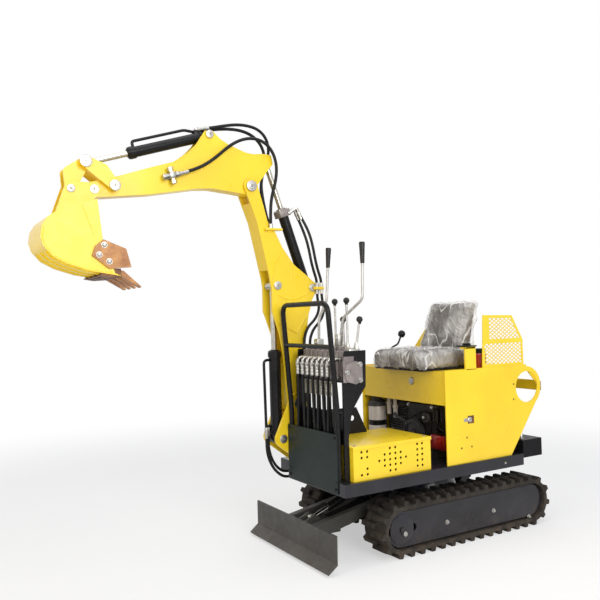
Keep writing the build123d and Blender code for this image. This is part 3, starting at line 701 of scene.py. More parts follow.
def wrap(name, pad, floor_z, loose):
    """Clear film over a pad: its skin lifted a little, in drawn folds, open below and loose at the left."""
    bm = bmesh.new()
    bm.from_mesh(pad.data)
    bmesh.ops.delete(bm, geom=[f for f in bm.faces if f.calc_center_median().z < floor_z], context="FACES")
    bmesh.ops.subdivide_edges(bm, edges=bm.edges, cuts=1, use_grid_fill=True)
    bm.normal_update()
    for corner in bm.verts:
        at = corner.co
        fold = crease(Vector((at.x * 7 + at.z * 5, at.y * 15, at.z * 6 - at.x * 4)))
        tuck = crease(Vector((at.x * 22, at.y * 18 + at.z * 9, at.z * 16)) + Vector((5, 2, 9)))
        lift = FILM_LIFT + 0.010 * fold + 0.005 * tuck
        lift += loose * max(0, corner.normal.y) ** 2 * (0.6 + noise.noise(at * 13))
        corner.co = at + corner.normal * lift
    film = placed(bm, name, "upper", film_clear)


vinyl = finish(
    "seat_vinyl", ((0.085, 0.066, 0.054), (0.05, 0.038, 0.032)), 0.5, patch=26, grain=420, relief=0.6,
    edge=0,
)
film_clear = bpy.data.materials.new("film_clear")
tree, shader = nodes_of(film_clear)
set_inputs(shader, Base_Color=(0.86, 0.84, 0.82, 1), Roughness=0.12, Specular_IOR_Level=0.8)
spot = added(tree, "TexCoord").outputs["Object"]
drawn = added(tree, "Mapping", Rotation=(0.5, 0.3, 0.6), Scale=(2.6, 9, 3.4))
link(tree, spot, drawn.inputs["Vector"])
half = added(tree, "Value").outputs[0]
half.default_value = 0.5
folds = []
for clouds, width, most in (
    (field(tree, drawn.outputs[0], 1, 1), 0.022, 1), (field(tree, spot, 13, 1), 0.02, 0.35),
):
    over = work_out(tree, "SUBTRACT", clouds, half)
    under = work_out(tree, "SUBTRACT", half, clouds)
    folds.append(spread(tree, work_out(tree, "MAXIMUM", over, under), 0, width, most, 0))
# Along the fold lines the film is drawn whiter and less clear than round them: painted highlights. The same
# lines also raise the folds in the bump.
fold_relief_and_highlights = work_out(tree, "MAXIMUM", *folds)
haze = spread(tree, field(tree, spot, 8, 2), 0.42, 0.66, 0.12, 0.5)
link(tree, work_out(tree, "MAXIMUM", haze, spread(tree, fold_relief_and_highlights, 0, 1, 0, 0.8)), shader.inputs["Alpha"])
bump = added(tree, "Bump", Strength=0.6, Distance=0.004)
link(tree, fold_relief_and_highlights, bump.inputs["Height"])
link(tree, bump.outputs[0], shader.inputs["Normal"])

bm = bmesh.new()
block(bm, *CUSHION, 24)
cushion = plump(bm, "seat_pad", PAD_SWELL)
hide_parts("seat_cushion")
wrap("seat_film", cushion, 0.962, 0.004)
bm = bmesh.new()
slab(bm, BACK, "y", *BACK_SIDE)
for corner in bm.verts:
    if corner.co.y < 0:
        corner.co.y += BACK_TAPER * (corner.co.z - BACK_FOOT) / BACK_RISE
bmesh.ops.bevel(
    bm, geom=bm.edges[:], offset=14, segments=2, profile=0.5, affect="EDGES", clamp_overlap=True,
)
backrest = plump(bm, "back_pad", PAD_SWELL)
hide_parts("seat_back")
wrap("back_film", backrest, 1.0, 0.03)
bm = bmesh.new()
block(bm, (-200, -150, 945), (222, 284, 956), 3)
for y in (-40, 180):
    block(bm, (-204, y - 22, 946), (-190, y + 22, 1120), 3)
finished(bm, "seat_pan", "upper", gloss_black)

# Canister and throttle: a small red bottle behind the seat post, and a bent hand lever by the tank.
# Both stand on the tank's top plate, each with a black cap or knob.
CANISTER_AT = (-185, 330)
bm = bmesh.new()
turned(bm, (*CANISTER_AT, 946), UP, [(0, 29), (4, 31), (80, 31), (88, 24)], 32)
finished(bm, "canister_bottle", "upper", red_paint)
bm = bmesh.new()
turned(bm, (*CANISTER_AT, 1032), UP, [(0, 26), (6, 28), (24, 28), (28, 24)], 32)
block(bm, (-44, -316, 945), (-8, -284, 985), 3)
tube(bm, bent([(-26, -300, 980), (-26, -300, 1055), (-84, -300, 1077), (-116, -300, 1142)], 16), 6, 12)
turned(
    bm, (-107, -300, 1122), (-0.44, 0, 0.9),
    [(0, 8), (4, 18), (16, 24), (28, 24), (40, 18), (46, 6)], 24,
)
finished(bm, "throttle_lever", "upper", gloss_black)

# Foot box: a folded yellow box under the driver's feet, with a lipped lid and punched air holes.
# The holes make two small groups at the ends and a diamond between them on the left face.
FOOT_X = (263, 775)
FOOT_Y = (0, 380)
FOOT_TOP = 597
FOOT_T = 4
LID_T = 8
HOLE_R = 7
HOLE_ROWS = [574 - 29 * row for row in range(5)]
HOLES = [(724, 0), (688, 0), (724, 1), (688, 1), (688, 3), (724, 4), (688, 4)]
HOLES += [
    (523 - 35.5 * (i + 0.5), row)
    for row, half in enumerate((1, 2, 3, 2, 1)) for i in range(-half, half)
]
HOLES += [(x, row) for x in (356, 322) for row in range(5)]


def wall(low, high):
    """Outline of an upright wall of the box between two places."""
    return [(low, DECK_TOP), (high, DECK_TOP), (high, FOOT_TOP), (low, FOOT_TOP)]


bm = bmesh.new()
rounds = [ring(x, HOLE_ROWS[row], HOLE_R, 16) for x, row in HOLES]
sheet_metal(bm, wall(*FOOT_X), rounds, "y", FOOT_Y[1] - FOOT_T, FOOT_Y[1])
slab(bm, wall(*FOOT_X), "y", FOOT_Y[0], FOOT_Y[0] + FOOT_T)
for x in (FOOT_X[0], FOOT_X[1] - FOOT_T):
    slab(bm, wall(FOOT_Y[0] + FOOT_T, FOOT_Y[1] - FOOT_T), "x", x, x + FOOT_T)
block(bm, (FOOT_X[0] - 3, FOOT_Y[0] - 5, FOOT_TOP), (FOOT_X[1] + 3, FOOT_Y[1] + 5, FOOT_TOP + LID_T), 2)
block(bm, (FOOT_X[0] - 3, FOOT_Y[1] + 1, FOOT_TOP - 10), (FOOT_X[1] + 3, FOOT_Y[1] + 5, FOOT_TOP + 2), 1)
foot_box = finished(bm, "foot_box_shell", "upper", yellow)
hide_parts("foot_box")
# Behind the holes a near-black block fills the box: painted shade, so that the holes look dark.
inside_painted_shade = finish("inside_painted_shade", ((0.014, 0.013, 0.012), (0.008, 0.008, 0.008)), 0.9, patch=10)
bm = bmesh.new()
block(bm, (FOOT_X[0] + 12, FOOT_Y[0] + 12, DECK_TOP), (FOOT_X[1] - 12, FOOT_Y[1] - 18, FOOT_TOP - 8), 4)
finished(bm, "foot_box_painted_shade", "upper", inside_painted_shade)
bm = bmesh.new()
for x in (FOOT_X[0] + 24, FOOT_X[1] - 24):
    for y in (FOOT_Y[0] + 24, FOOT_Y[1] - 24):
        turned(bm, (x, y, FOOT_TOP + LID_T), UP, [(-1, 8), (2, 8), (4, 5)], 16)
finished(bm, "foot_box_screws", "upper", zinc)

# Valve stand: two black plates and a tray that carry the control valve, stiffened by a drilled web.
# The grey cast valve has a machined section for each lever, and a diamond cover on its left end.
VALVE_FRONT = 770
VALVE_TOP = 1083
SECTION = 50
VALVE_MIDDLE = 115
END_CASTING = [(738, 1062), (798, 1062), (804, 1040), (804, 930), (738, 930)]
COVER = [(804, 982), (786, 1026), (732, 1038), (690, 1022), (690, 938), (732, 918), (786, 934)]
COVER_SCREWS = [(786, 980), (706, 1020), (706, 938)]
STAND_FACE = 350
valve_grey = finish(
    "valve_grey", ((0.30, 0.26, 0.25), (0.19, 0.165, 0.16)), 0.42, metal=0.35, patch=18, grain=260,
    relief=0.35,
)
dress(gloss_black, "valve_stand")
dress(valve_grey, "valve")
bm = bmesh.new()
web = [(778, 757), (508, 751), (440, 613), (440, 605), (778, 605)]
sheet_metal(bm, web, [ring(538, 692, 15, 24)], "y", 37, 43)
block(bm, (774, -110, 605), (782, 345, 770), 2)
finished(bm, "stand_web", "upper", gloss_black)
bm = bmesh.new()
for i in range(8):
    y = VALVE_MIDDLE + SECTION * (i - 3.5)
    block(bm, (684, y - 22, VALVE_TOP - 130), (VALVE_FRONT + 5, y + 22, VALVE_TOP + 5), 4)
    turned(bm, (744, y, VALVE_TOP + 4), UP, [(0, 15), (8, 15), (8, 12), (22, 12), (25, 9)], 6)
    turned(bm, (704, y, VALVE_TOP + 4), UP, [(0, 17), (10, 17), (14, 13)], 24)
slab(bm, END_CASTING, "y", STAND_FACE, STAND_FACE + 5)
slab(bm, COVER, "y", STAND_FACE, STAND_FACE + 13)
finished(bm, "valve_sections", "upper", valve_grey)
bm = bmesh.new()
for x, z in COVER_SCREWS:
    head = [(-1, 14), (2, 14), (2, 11), (9, 11), (10, 10), (10, 5.5), (5, 5)]
    turned(bm, (x, STAND_FACE + 13, z), (0, 1, 0), head, 24)
for y, high in ((-32, 62), (178, 88)):
    block(bm, (678, y - 20, VALVE_TOP + 4), (722, y + 20, VALVE_TOP + high), 5)
    bolt(bm, (722, y, VALVE_TOP + high - 20), AHEAD, 13)
for y in (140, 215, 250, 326):
    turned(bm, (700, y, VALVE_TOP + 4), UP, [(0, 14), (20, 14), (28, 10), (44, 8)], 6)
block(bm, (690, 318, 1072), (760, 349, 1100), 5)
finished(bm, "valve_bolts", "upper", zinc)

# Valve ports: zinc elbows in two rows on the valve's front, each with a crimped hose end below it.
# The lower row sits half a section to the side of the upper one, so that both can be reached.
DOWN = (0, 0, -1)
UPPER_ROW = ([VALVE_MIDDLE + SECTION * (i - 3.5) for i in range(8)], 824, 1045, 955)
LOWER_ROW = ([VALVE_MIDDLE + SECTION * (i - 3) for i in range(7)], 800, 950, 850)
bm = bmesh.new()
crimp = [(0, 10.5), (2, 12), (14, 12), (16, 10.8), (20, 10.8), (22, 12), (30, 12), (32, 10.8)]
crimp += [(36, 10.8), (38, 12)]
for places, out, high, low in (UPPER_ROW, LOWER_ROW):
    for y in places:
        turned(bm, (VALVE_FRONT + 4, y, high), AHEAD, [(0, 13), (10, 13), (12, 11)], 6)
        tube(bm, bent([(VALVE_FRONT + 8, y, high), (out, y, high), (out, y, high - 40)], 22), 9.5, 14)
        turned(bm, (out, y, high - 22), DOWN, [(0, 12), (2, 13.5), (16, 13.5), (18, 12)], 6)
        hose_end = crimp + [(high - 44 - low, 12), (high - 40 - low, 10.4)]
        turned(bm, (out, y, high - 40), DOWN, hose_end, 20)
block(bm, (686, -164, 1006), (738, -115, 1046), 4)
for x, y in ((724, -152), (698, -132)):
    turned(bm, (x, y, 1044), UP, [(0, 13), (14, 13), (14, 10.5), (40, 10.5), (42, 9)], 16)
finished(bm, "valve_elbows", "upper", zinc)

# Levers: two bent travel levers with tapered rubber grips, and four short ones with ball knobs.
# The rods are bright plated steel, screwed into the valve's spools.
TRAVEL = [
    [(700, -32, 1120), (700, -25, 1260), (672, 15, 1355), (640, -10, 1550), (632, -12, 1655)],
    [(700, 178, 1120), (697, 208, 1260), (662, 342, 1355), (640, 320, 1550), (634, 312, 1655)],
]
BALLS = [
    [(700, 140), (685, 116, 1349)], [(700, 250), (685, 227, 1352)], [(700, 215), (685, 191, 1251)],
    [(700, 326), (678, 332, 1250)],
]
plated = finish("plated_rod", ((0.5, 0.49, 0.47), (0.4, 0.39, 0.38)), 0.3, metal=0.4, patch=20, edge=0)
knob_black = finish(
    "knob_black", ((0.012, 0.0115, 0.012), (0.007, 0.007, 0.007)), 0.3, shine=0.3, patch=20,
    relief=0.1,
)
bm = bmesh.new()
for way in TRAVEL:
    tube(bm, bent(way[:4], 26), 7.5, 14)
for foot, knob in BALLS:
    tube(bm, [(*foot, 1100), knob], 6, 12)
rods = finished(bm, "lever_rods", "upper", plated)
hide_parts("levers")
bm = bmesh.new()
for way in TRAVEL:
    run = Vector(way[4]) - Vector(way[3])
    grip = [(-6, 8), (-4, 11), (0, 11.5), (40, 13), (90, 15.5), (104, 16), (108, 14), (109, 8)]
    turned(bm, way[3], run, grip, 28)
for foot, knob in BALLS:
    ball = [(17 * -cos(pi * i / 12), 17 * max(sin(pi * i / 12), 0.04)) for i in range(13)]
    turned(bm, knob, UP, ball, 28)
    turned(bm, (knob[0], knob[1], knob[2] - 24), UP, [(0, 8), (10, 9)], 16)
finished(bm, "lever_grips", "upper", knob_black)

# Guard and front plate: one black tube bent round the levers, over a plate that shields the hoses.
# The tube is welded to the deck's front edge, and four bolts hold the plate at its corners.
GUARD_R = 14
GUARD_Y = (-136, 326)
GUARD_RISE = [(828, DECK_TOP), (828, 760), (872, 1338)]
way = [(x, GUARD_Y[0], z) for x, z in GUARD_RISE] + [(x, GUARD_Y[1], z) for x, z in GUARD_RISE[::-1]]
bm = bmesh.new()
tube(bm, bent(way, 58, 10), GUARD_R, 24)
tube(bm, [(856, GUARD_Y[0], 1114), (856, GUARD_Y[1], 1114)], GUARD_R - 2, 20)
for y in GUARD_Y:
    turned(bm, (828, y, DECK_TOP), UP, [(0, 24), (4, 24), (8, 17)], 24)
guard = finished(bm, "guard_tube", "upper", gloss_black)
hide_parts("guard_frame")
plate_green = finish(
    "plate_green", ((0.012, 0.021, 0.0185), (0.009, 0.016, 0.014)), 0.35, shine=0.2, patch=3,
    grain=420,
)
dress(plate_green, "front_plate")
bm = bmesh.new()
for y in (-132, 322):
    for z in (392, 652):
        bolt(bm, (848, y, z), AHEAD, 12)
finished(bm, "front_plate_bolts", "upper", gloss_black)

# Boom foot and boom: yellow welded plates, with the bracket's two cheeks on the deck's front corner.
# A doubler plate with a rounded edge stiffens the boom at its elbow, and pins run in bored bosses.
BOOM_Y = -230
BOOM_HALF = 57
BRACKET_HALF = 77
DOUBLER_T = 4
DOUBLER = [
    (760, 1180), (676, 1298), (656, 1364), (619, 1426), (619, 1459), (686, 1511), (767, 1571),
    (836, 1660),
]
DOUBLER += [(866, 1610), (890, 1560), (906, 1500), (914, 1431), (914, 1306), (889, 1252)]
ELBOW_SEAMS = [
    [(640, 1440), (700, 1400), (760, 1376), (820, 1374), (880, 1400)],
    [(836, 1656), (800, 1600), (782, 1540), (786, 1480)],
]
BOOM_FOOT = (770, 780)
BOOM_CYL_BASE = (876, 586)
BOOM_CYL_EYE = (881, 1453)
ARM_CYL_BASE = (650, 1441)
ARM_PIVOT = (1032, 2010)


def pin_ends(bm, pin, reach, size, proud=1):
    """Plated washer, pin end and grease nipple on both sides of a pivot, thinner where plates pass."""
    for side in (1, -1):
        at = (pin[0], BOOM_Y + side * reach, pin[1])
        rings = [(-2, 1), (2.5, 1), (3.2, 0.94), (3.2, 0.6), (5.5, 0.58), (6, 0.5), (6, 0.3), (4, 0.24)]
        turned(bm, at, (0, side, 0), [(out * proud, size * share) for out, share in rings], 32)
        nipple = [(3.5, 4), (7.5, 4), (10.5, 2.5), (12, 2)]
        turned(bm, at, (0, side, 0), [(out * proud, radius) for out, radius in nipple], 8)


def weld_bead(bm, y, seam, size=3):
    """Raised bead of weld metal, with its ripples, along a seam on an upright face."""
    points = [Vector((x, y, z)) for x, z in seam]
    fine = []
    for a, b in zip(points, points[1:]):
        steps = max(1, int((b - a).length / 6))
        fine += [a.lerp(b, i / steps) for i in range(steps)]
    fine.append(points[-1])
    rings = []
    for i, p in enumerate(fine):
        ahead = (fine[min(i + 1, len(fine) - 1)] - fine[max(i - 1, 0)]).normalized()
        side = ahead.cross(Vector((0, 1, 0))).normalized()
        out = side.cross(ahead)
        wide = size * (1.15 if i % 2 else 0.85)
        spokes = [side * wide * c + out * wide * 0.6 * s for c, s in ring(0, 0, 1, 8)]
        rings.append([bm.verts.new(p + spoke) for spoke in spokes])
    skin(bm, rings)


dress(yellow, "boom_bracket", "boom")
bm = bmesh.new()
for side in (1, -1):
    face = BOOM_Y + side * BOOM_HALF
    outside = face + side * DOUBLER_T
    slab(bm, DOUBLER, "y", *sorted((face, outside)))
    weld_bead(bm, outside - side, DOUBLER[8:] + DOUBLER[:3], 4)
    for seam in ELBOW_SEAMS:
        weld_bead(bm, outside, seam, 4)
    foot_seam = [(x, DECK_TOP + 2) for x in (604, 680, 756)]
    weld_bead(bm, BOOM_Y + side * (BRACKET_HALF - 1), foot_seam, 5)
finished(bm, "boom_doublers", "boom", yellow)
bm = bmesh.new()
pin_ends(bm, BOOM_FOOT, BRACKET_HALF, 30)
pin_ends(bm, BOOM_CYL_BASE, BRACKET_HALF, 24)
finished(bm, "bracket_pins", "upper", zinc)
bm = bmesh.new()
pin_ends(bm, ARM_PIVOT, 67, 30)
pin_ends(bm, ARM_CYL_BASE, 65, 22)
pin_ends(bm, BOOM_CYL_EYE, 65, 24)
finished(bm, "boom_pins", "boom", zinc)

# Arm and its tool port: a yellow box section with a plated cross fitting on its left face.
# The fitting feeds a second tool, and spare ends are closed with hex caps.
ARM_HALF = 40
TOOL_PORT = (1500, 2030)
PORT_DROP = (0.96, 0, -0.28)
BUCKET_CYL_BASE = (1271, 2279)
ROCKER_PIVOT = (1802, 1954)
ROCKER_TOP = (1944.5, 2063)
LINK_PIN = (2013, 1927)
BUCKET_PIVOT = (1899, 1931)
ARM_SEAM = [(1256, 2290), (1296, 2288), (1346, 2214), (1395, 2162), (1476, 2104)]
dress(yellow, "arm")
bm = bmesh.new()
arm_face = BOOM_Y + ARM_HALF
at = Vector((TOOL_PORT[0], arm_face + 26, TOOL_PORT[1]))
ahead = Vector(PORT_DROP).normalized()
upward = Vector((0.28, 0, 0.96)).normalized()
turned(
    bm, (TOOL_PORT[0], arm_face - 1, TOOL_PORT[1]), (0, 1, 0),
    [(0, 22), (6, 22), (6, 17), (44, 17), (46, 14)], 24,
)
for way, end in ((ahead, 52), (-ahead, 40), (upward, 44), (-upward, 46)):
    turned(bm, at, way, [(0, 13), (end - 20, 13), (end - 20, 17), (end - 3, 17), (end, 14)], 6)
finished(bm, "tool_port_cross", "arm", zinc)
bm = bmesh.new()
pin_ends(bm, BUCKET_CYL_BASE, 48, 22)
pin_ends(bm, ROCKER_PIVOT, 75, 28)
pin_ends(bm, BUCKET_PIVOT, 54, 22, 0.4)
finished(bm, "arm_pins", "arm", zinc)
bm = bmesh.new()
for side in (1, -1):
    weld_bead(bm, BOOM_Y + side * ARM_HALF, ARM_SEAM)
finished(bm, "arm_welds", "arm", yellow)

# Cylinders: black painted barrels with screwed glands, square on the arm's, and bright plated rods.
# Each barrel swings on its base pin, and hoses bring oil to its ports.
ARM_CYL_EYE = (908, 2170)


def on_cylinder(base, eye, distance, out=0):
    """Place along a cylinder's line, and out from it to the upper side."""
    line = (Vector(eye) - Vector(base)).normalized()
    spot = Vector(base) + line * distance + Vector((-line.y, line.x)) * out
    return Vector((spot.x, BOOM_Y, spot.y))


def way_of(base, eye):
    """Way in which a cylinder pushes."""
    return on_cylinder(base, eye, 10) - on_cylinder(base, eye, 0)


def gland(bm, base, eye, start, radius, thick):
    """Screwed gland nut with its rod wiper at a barrel's open end, and a band at its closed end."""
    line = way_of(base, eye)
    nut = [(-34, radius), (-34, radius + 5), (-8, radius + 5), (-6, radius + 3), (0, radius + 3)]
    nut += [(6, thick + 7), (9, thick + 4)]
    turned(bm, on_cylinder(base, eye, start), line, nut, 36)
    band = [(0, radius), (0, radius + 4), (12, radius + 4), (14, radius)]
    turned(bm, on_cylinder(base, eye, 34), line, band, 36)


dress(gloss_black, "boom_cylinder_barrel", "arm_cylinder_barrel", "bucket_cylinder_barrel")
dress(chrome, "boom_cylinder_rod", "arm_cylinder_rod", "bucket_cylinder_rod")
bm = bmesh.new()
gland(bm, BOOM_CYL_BASE, BOOM_CYL_EYE, 493, 34, 18)
tube(bm, bent([(890, BOOM_Y, 1030), (954, BOOM_Y + 8, 1030), (951, -216, 612)], 24), 8, 14)
block(bm, (898, -258, 622), (930, -236, 660), 3)
finished(bm, "boom_cylinder_fittings", "boom_cylinder_barrel", gloss_black)
bm = bmesh.new()
gland(bm, BUCKET_CYL_BASE, ROCKER_TOP, 460, 28, 15)
pipe = [on_cylinder(BUCKET_CYL_BASE, ROCKER_TOP, 425, d) for d in (20, 56)]
pipe += [on_cylinder(BUCKET_CYL_BASE, ROCKER_TOP, d, h) for d, h in ((120, 56), (60, 32))]
tube(bm, bent(pipe, 16), 8, 14)
block(bm, (1310, -252, 2262), (1350, -208, 2300), 4)
finished(bm, "bucket_cylinder_fittings", "bucket_cylinder_barrel", gloss_black)
bm = bmesh.new()
line = way_of(ARM_CYL_BASE, ARM_CYL_EYE).normalized()
across = Vector((line.z, 0, -line.x))
corners = [(1, 1), (1, -1), (-1, -1), (-1, 1)]
high = on_cylinder(ARM_CYL_BASE, ARM_CYL_EYE, 480)
ends = []
for middle in (on_cylinder(ARM_CYL_BASE, ARM_CYL_EYE, 440), high):
    ends.append([bm.verts.new(middle + across * 37 * a + Vector((0, 37 * b, 0))) for a, b in corners])
bm.faces.new(ends[0])
bm.faces.new(ends[1])
for i in range(4):
    bm.faces.new((ends[0][i - 1], ends[0][i], ends[1][i], ends[1][i - 1]))
bmesh.ops.bevel(bm, geom=bm.edges[:], offset=5, segments=2, profile=0.5, affect="EDGES")
turned(bm, high, line, [(0, 30), (8, 28), (12, 22)], 32)
finished(bm, "arm_cylinder_gland", "arm_cylinder_barrel", valve_grey)
bm = bmesh.new()
for a, b in corners:
    bolt(bm, high + across * 27 * a + Vector((0, 27 * b, 0)), line, 10)
for y, x in ((-206, 724), (-186, 718)):
    tube(bm, bent([(782, y - 10, 1872), (x + 14, y, 1908), (x, y, 1872)], 14), 9, 14)
    turned(
        bm, (x + 2, y, 1880), (-0.36, 0.1, -0.93),
        [(-6, 10), (0, 12), (18, 12), (18, 10.6), (44, 10.6), (45, 9)], 16,
    )
finished(bm, "arm_cylinder_bolts", "arm_cylinder_barrel", zinc)

# Rocker plates and bucket link: cast yellow links that turn the cylinder's push into the bucket's curl.
# Washers and pins are plated, with a grease nipple in each.
dress(yellow, "rocker", "bucket_link")
bm = bmesh.new()
pin_ends(bm, ROCKER_TOP, 76, 30)
finished(bm, "rocker_pins", "rocker", zinc)

# Bucket: yellow rolled shell with wear strips, welded sides and ears, and cast teeth on its lip.
# Copper-brown side cutters are bolted to the front edge of each side.
BUCKET_HALF = 160
CUTTER_T = 12
CUTTER = [(1891, 1668), (1932, 1635), (1947, 1590), (1867, 1528), (1758, 1536), (1782, 1626)]
CUTTER_BOLTS = [(1889, 1642), (1914, 1594), (1866, 1562)]
WEAR_STRIP = [(1860, 1496), (1966, 1513), (2064, 1543), (2130, 1578), (2154, 1606)]
STRIP_INSIDE = [(1862, 1503), (1964, 1521), (2060, 1551), (2122, 1586), (2148, 1612)]
SHELL_SEAM = [(1846, 1508), (1966, 1524), (2058, 1553), (2118, 1587), (2159, 1633), (2171, 1673)]
SHELL_SEAM += [(2164, 1722)]
EAR_SEAM = [(1990, 1832), (1960, 1760), (1935, 1690)]
SOCKET = [(1806, 1530), (1838, 1530), (1896, 1512), (1912, 1494), (1862, 1486), (1800, 1490)]
TOOTH_PLACES = [BOOM_Y + 85 * share for share in (-1.5, -0.5, 0.5, 1.5)]
copper = finish(
    "cast_copper", ((0.46, 0.225, 0.08), (0.3, 0.13, 0.05)), 0.42, metal=0.25, patch=22, grain=200,
    relief=0.5,
)
dress(yellow, "bucket")
dress(copper, "bucket_teeth")
bm = bmesh.new()
for side in (1, -1):
    face = BOOM_Y + side * BUCKET_HALF
    slab(bm, CUTTER, "y", *sorted((face, face + side * CUTTER_T)))
finished(bm, "side_cutters", "bucket", copper)
bm = bmesh.new()
for side in (1, -1):
    for x, z in CUTTER_BOLTS:
        at = (x, BOOM_Y + side * (BUCKET_HALF + CUTTER_T), z)
        turned(bm, at, (0, side, 0), [(-1, 15), (2, 15), (2, 12), (9, 11), (12, 7)], 20)
pin_ends(bm, LINK_PIN, 53, 20)
finished(bm, "bucket_bolts", "bucket", zinc)
bm = bmesh.new()
for y in (-105, 0, 105):
    slab(bm, WEAR_STRIP + STRIP_INSIDE[::-1], "y", BOOM_Y + y - 20, BOOM_Y + y + 20)
for side in (1, -1):
    for seam in (SHELL_SEAM, EAR_SEAM):
        weld_bead(bm, BOOM_Y + side * BUCKET_HALF, seam)
finished(bm, "bucket_wear_strips", "bucket", yellow)
bm = bmesh.new()
for y in TOOTH_PLACES:
    slab(bm, SOCKET, "y", y - 27, y + 27)
finished(bm, "tooth_sockets", "bucket", copper_dark)

# Hoses: black rubber hydraulic hoses between bodies that move, each hung in a loose curve.
# Two arch over the boom's head to the bucket cylinder, one of them in a spiral guard.
hose_black = finish(
    "hose_black", ((0.011, 0.011, 0.0115), (0.006, 0.006, 0.0065)), 0.45, shine=0.22, patch=18,
    grain=700, relief=0.2, edge=0,
)
WIDE = 0.018
NARROW = 0.016
SPIRAL = 0.011
GROOVE = 0.0022
TOOL_ROUTE = [
    (1444, -164, 2046), (1388, -162, 2066), (1322, -160, 2096), (1250, -160, 2146), (1165, -160, 2222),
    (1086, -160, 2266), (1006, -160, 2280), (934, -160, 2257), (887, -160, 2200), (870, -160, 2120),
    (884, -160, 2034), (912, -160, 1948), (920, -160, 1864), (920, -160, 1781),
]
OUTER_ARCH = [
    (1306, -222, 2312), (1240, -223, 2326), (1168, -226, 2346), (1092, -232, 2364), (1012, -242, 2371),
    (934, -258, 2362), (874, -278, 2326), (846, -294, 2266), (854, -305, 2198), (880, -308, 2130),
    (898, -308, 2056), (888, -308, 1972), (870, -309, 1890), (850, -310, 1814), (826, -310, 1738),
    (826, -310, 1660),
]
INNER_ARCH = [
    (1306, -242, 2308), (1238, -243, 2320), (1166, -246, 2334), (1092, -252, 2342), (1020, -258, 2338),
    (956, -265, 2316), (908, -272, 2274), (884, -279, 2216), (886, -284, 2150), (904, -285, 2084),
    (912, -286, 2016), (902, -286, 1946), (880, -287, 1866), (850, -288, 1800), (814, -288, 1735),
    (814, -288, 1660),
]
ARM_CYLINDER_ROUTES = [
    [
        (722, -206, 1868), (696, -196, 1802), (676, -182, 1734), (664, -170, 1664),
        (656, -162, 1592), (640, -160, 1532), (622, -160, 1482), (622, -160, 1447),
    ],
    [
        (716, -186, 1874), (684, -172, 1812), (662, -156, 1744), (650, -146, 1672),
        (640, -141, 1600), (624, -140, 1536), (604, -140, 1482), (604, -140, 1447),
    ],
]
LOOP_ROUTES = [
    [
        (622, -160, 1425), (622, -160, 1378), (610, -160, 1332), (622, -158, 1285),
        (652, -157, 1246), (692, -156, 1214), (716, -154, 1168), (724, -152, 1124),
        (724, -152, 1086),
    ],
    [
        (604, -140, 1425), (604, -140, 1376), (590, -139, 1328), (598, -138, 1278),
        (628, -137, 1236), (668, -136, 1200), (692, -134, 1154), (698, -132, 1120),
        (698, -132, 1086),
    ],
]
LIFT_ROUTES = [
    [
        (950, -216, 612), (953, -216, 548), (945, -214, 484), (920, -212, 426), (884, -210, 384),
        (844, -208, 360), (798, -208, 360), (762, -208, 372),
    ],
    [
        (922, -246, 622), (926, -246, 566), (920, -244, 502), (898, -242, 444), (864, -240, 402),
        (822, -238, 380), (764, -236, 384),
    ],
]


def smooth_line(route, fineness):
    """Points along the smooth curve that a hose takes between its given places, in metres."""
    curve = bpy.data.curves.new("hose_line", "CURVE")
    curve.dimensions = "3D"
    curve.resolution_u = fineness
    spline = curve.splines.new("NURBS")
    spline.points.add(len(route) - 1)
    for knot, place in zip(spline.points, route):
        knot.co = (*(TO_FRAME @ Vector(place)), 1)
    spline.order_u = 3
    spline.use_endpoint_u = True
    holder = bpy.data.objects.new("hose_line", curve)
    scene.collection.objects.link(holder)
    mesh = bpy.data.meshes.new_from_object(holder)
    points = [v.co.copy() for v in mesh.vertices]
    bpy.data.objects.remove(holder)
    bpy.data.curves.remove(curve)
    bpy.data.meshes.remove(mesh)
    return points


def free_hose(name, route, across, bodies, spiral=0):
    """Hose of a width in metres that leaves the first body and ends in the second."""
    points = smooth_line(route, 40 if spiral else 10)
    bm = bmesh.new()
    tube(bm, points, across / 2, 16 if spiral else 14, spiral, GROOVE)
    hose = finished(bm, name, None, hose_black, Matrix.Identity(4))
    if bodies[0] == bodies[1]:
        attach(hose, bodies[0])
    else:
        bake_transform(hose)


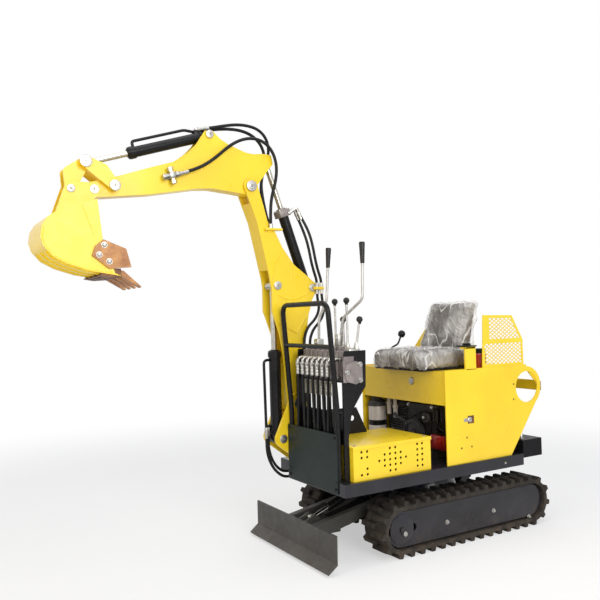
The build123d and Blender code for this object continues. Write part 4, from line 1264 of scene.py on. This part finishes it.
free_hose("tool_hose", TOOL_ROUTE, WIDE, ("arm", "boom"))
free_hose("bucket_hose_outer", OUTER_ARCH, WIDE, ("arm", "boom"), SPIRAL)
free_hose("bucket_hose_inner", INNER_ARCH, WIDE, ("arm", "boom"))
for name, routes, bodies in (
    ("arm_cylinder_hose", ARM_CYLINDER_ROUTES, ("arm_cylinder_barrel", "boom")),
    ("loop_hose", LOOP_ROUTES, ("boom", "upper")),
    ("boom_cylinder_hose", LIFT_ROUTES, ("boom_cylinder_barrel", "upper")),
):
    for i, route in enumerate(routes):
        free_hose(f"{name}_{i + 1}", route, NARROW, bodies)
SWAY = [(0, 0, 1), (3, 5, 0.82), (4, 14, 0.62), (0, 18, 0.42), (-3, 10, 0.2), (0, 6, 0)]
for row, (places, out, high, low) in (("upper", UPPER_ROW), ("lower", LOWER_ROW)):
    for i, y in enumerate(places):
        drift = 0.6 * (1 if i % 2 else -1) * (1 + 0.3 * sin(2.4 * i + out))
        route = [
            (out + x * drift, y + side * drift, DECK_TOP + (low - DECK_TOP) * share)
            for x, side, share in SWAY
        ]
        free_hose(f"valve_hose_{row}_{i + 1}", route, NARROW, ("upper", "upper"))

# Hose clips and ends: yellow bars welded to the boom, and plated sleeves crimped on the hoses.
# Each sleeve stands where its hose leaves a port or a clip.
bm = bmesh.new()
block(bm, (850, -185, 1765), (960, -146, 1777), 2)
block(bm, (800, -322, 1634), (850, -275, 1648), 2)
block(bm, (594, -180, 1428), (650, -126, 1444), 2)
finished(bm, "boom_clips", "boom", yellow)
bm = bmesh.new()
over = [(920, -160, 1777), (826, -310, 1648), (814, -288, 1648), (622, -160, 1444), (604, -140, 1444)]
under = [(622, -160, 1428), (604, -140, 1428)]
for places, way, lip in ((over, 1, 9.4), (under, -1, 9.2)):
    for place in places:
        turned(bm, place, (0, 0, way), [(-2, 12), (8, 12), (8, 11), (24, 11), (25, lip)], 16)
finished(bm, "clip_sleeves", "boom", zinc)
bm = bmesh.new()
turned(
    bm, (1462, -164, 2040), (-0.95, 0, 0.3),
    [(-4, 11), (4, 11), (4, 13), (14, 13), (16, 11.5), (56, 11.5), (58, 10)], 20,
)
finished(bm, "tool_hose_sleeve", "arm", zinc)
bm = bmesh.new()
for y, z in ((-222, 2312), (-242, 2308)):
    turned(
        bm, (1330, y, z - 8), (-0.95, 0, 0.22),
        [(-14, 10), (4, 10), (4, 13), (18, 13), (20, 11.5), (70, 11.5), (72, 10)], 20,
    )
finished(bm, "bucket_hose_sleeves", "arm", zinc)
bm = bmesh.new()
for place, end in (((950, -216, 640), 52), ((922, -246, 636), 42)):
    sleeve = [(-10, 10.5), (0, 12), (end - 26, 12), (end - 22, 10.5), (end - 2, 10.5), (end, 9)]
    turned(bm, place, DOWN, sleeve, 16)
finished(bm, "lift_hose_sleeves", "boom_cylinder_barrel", zinc)
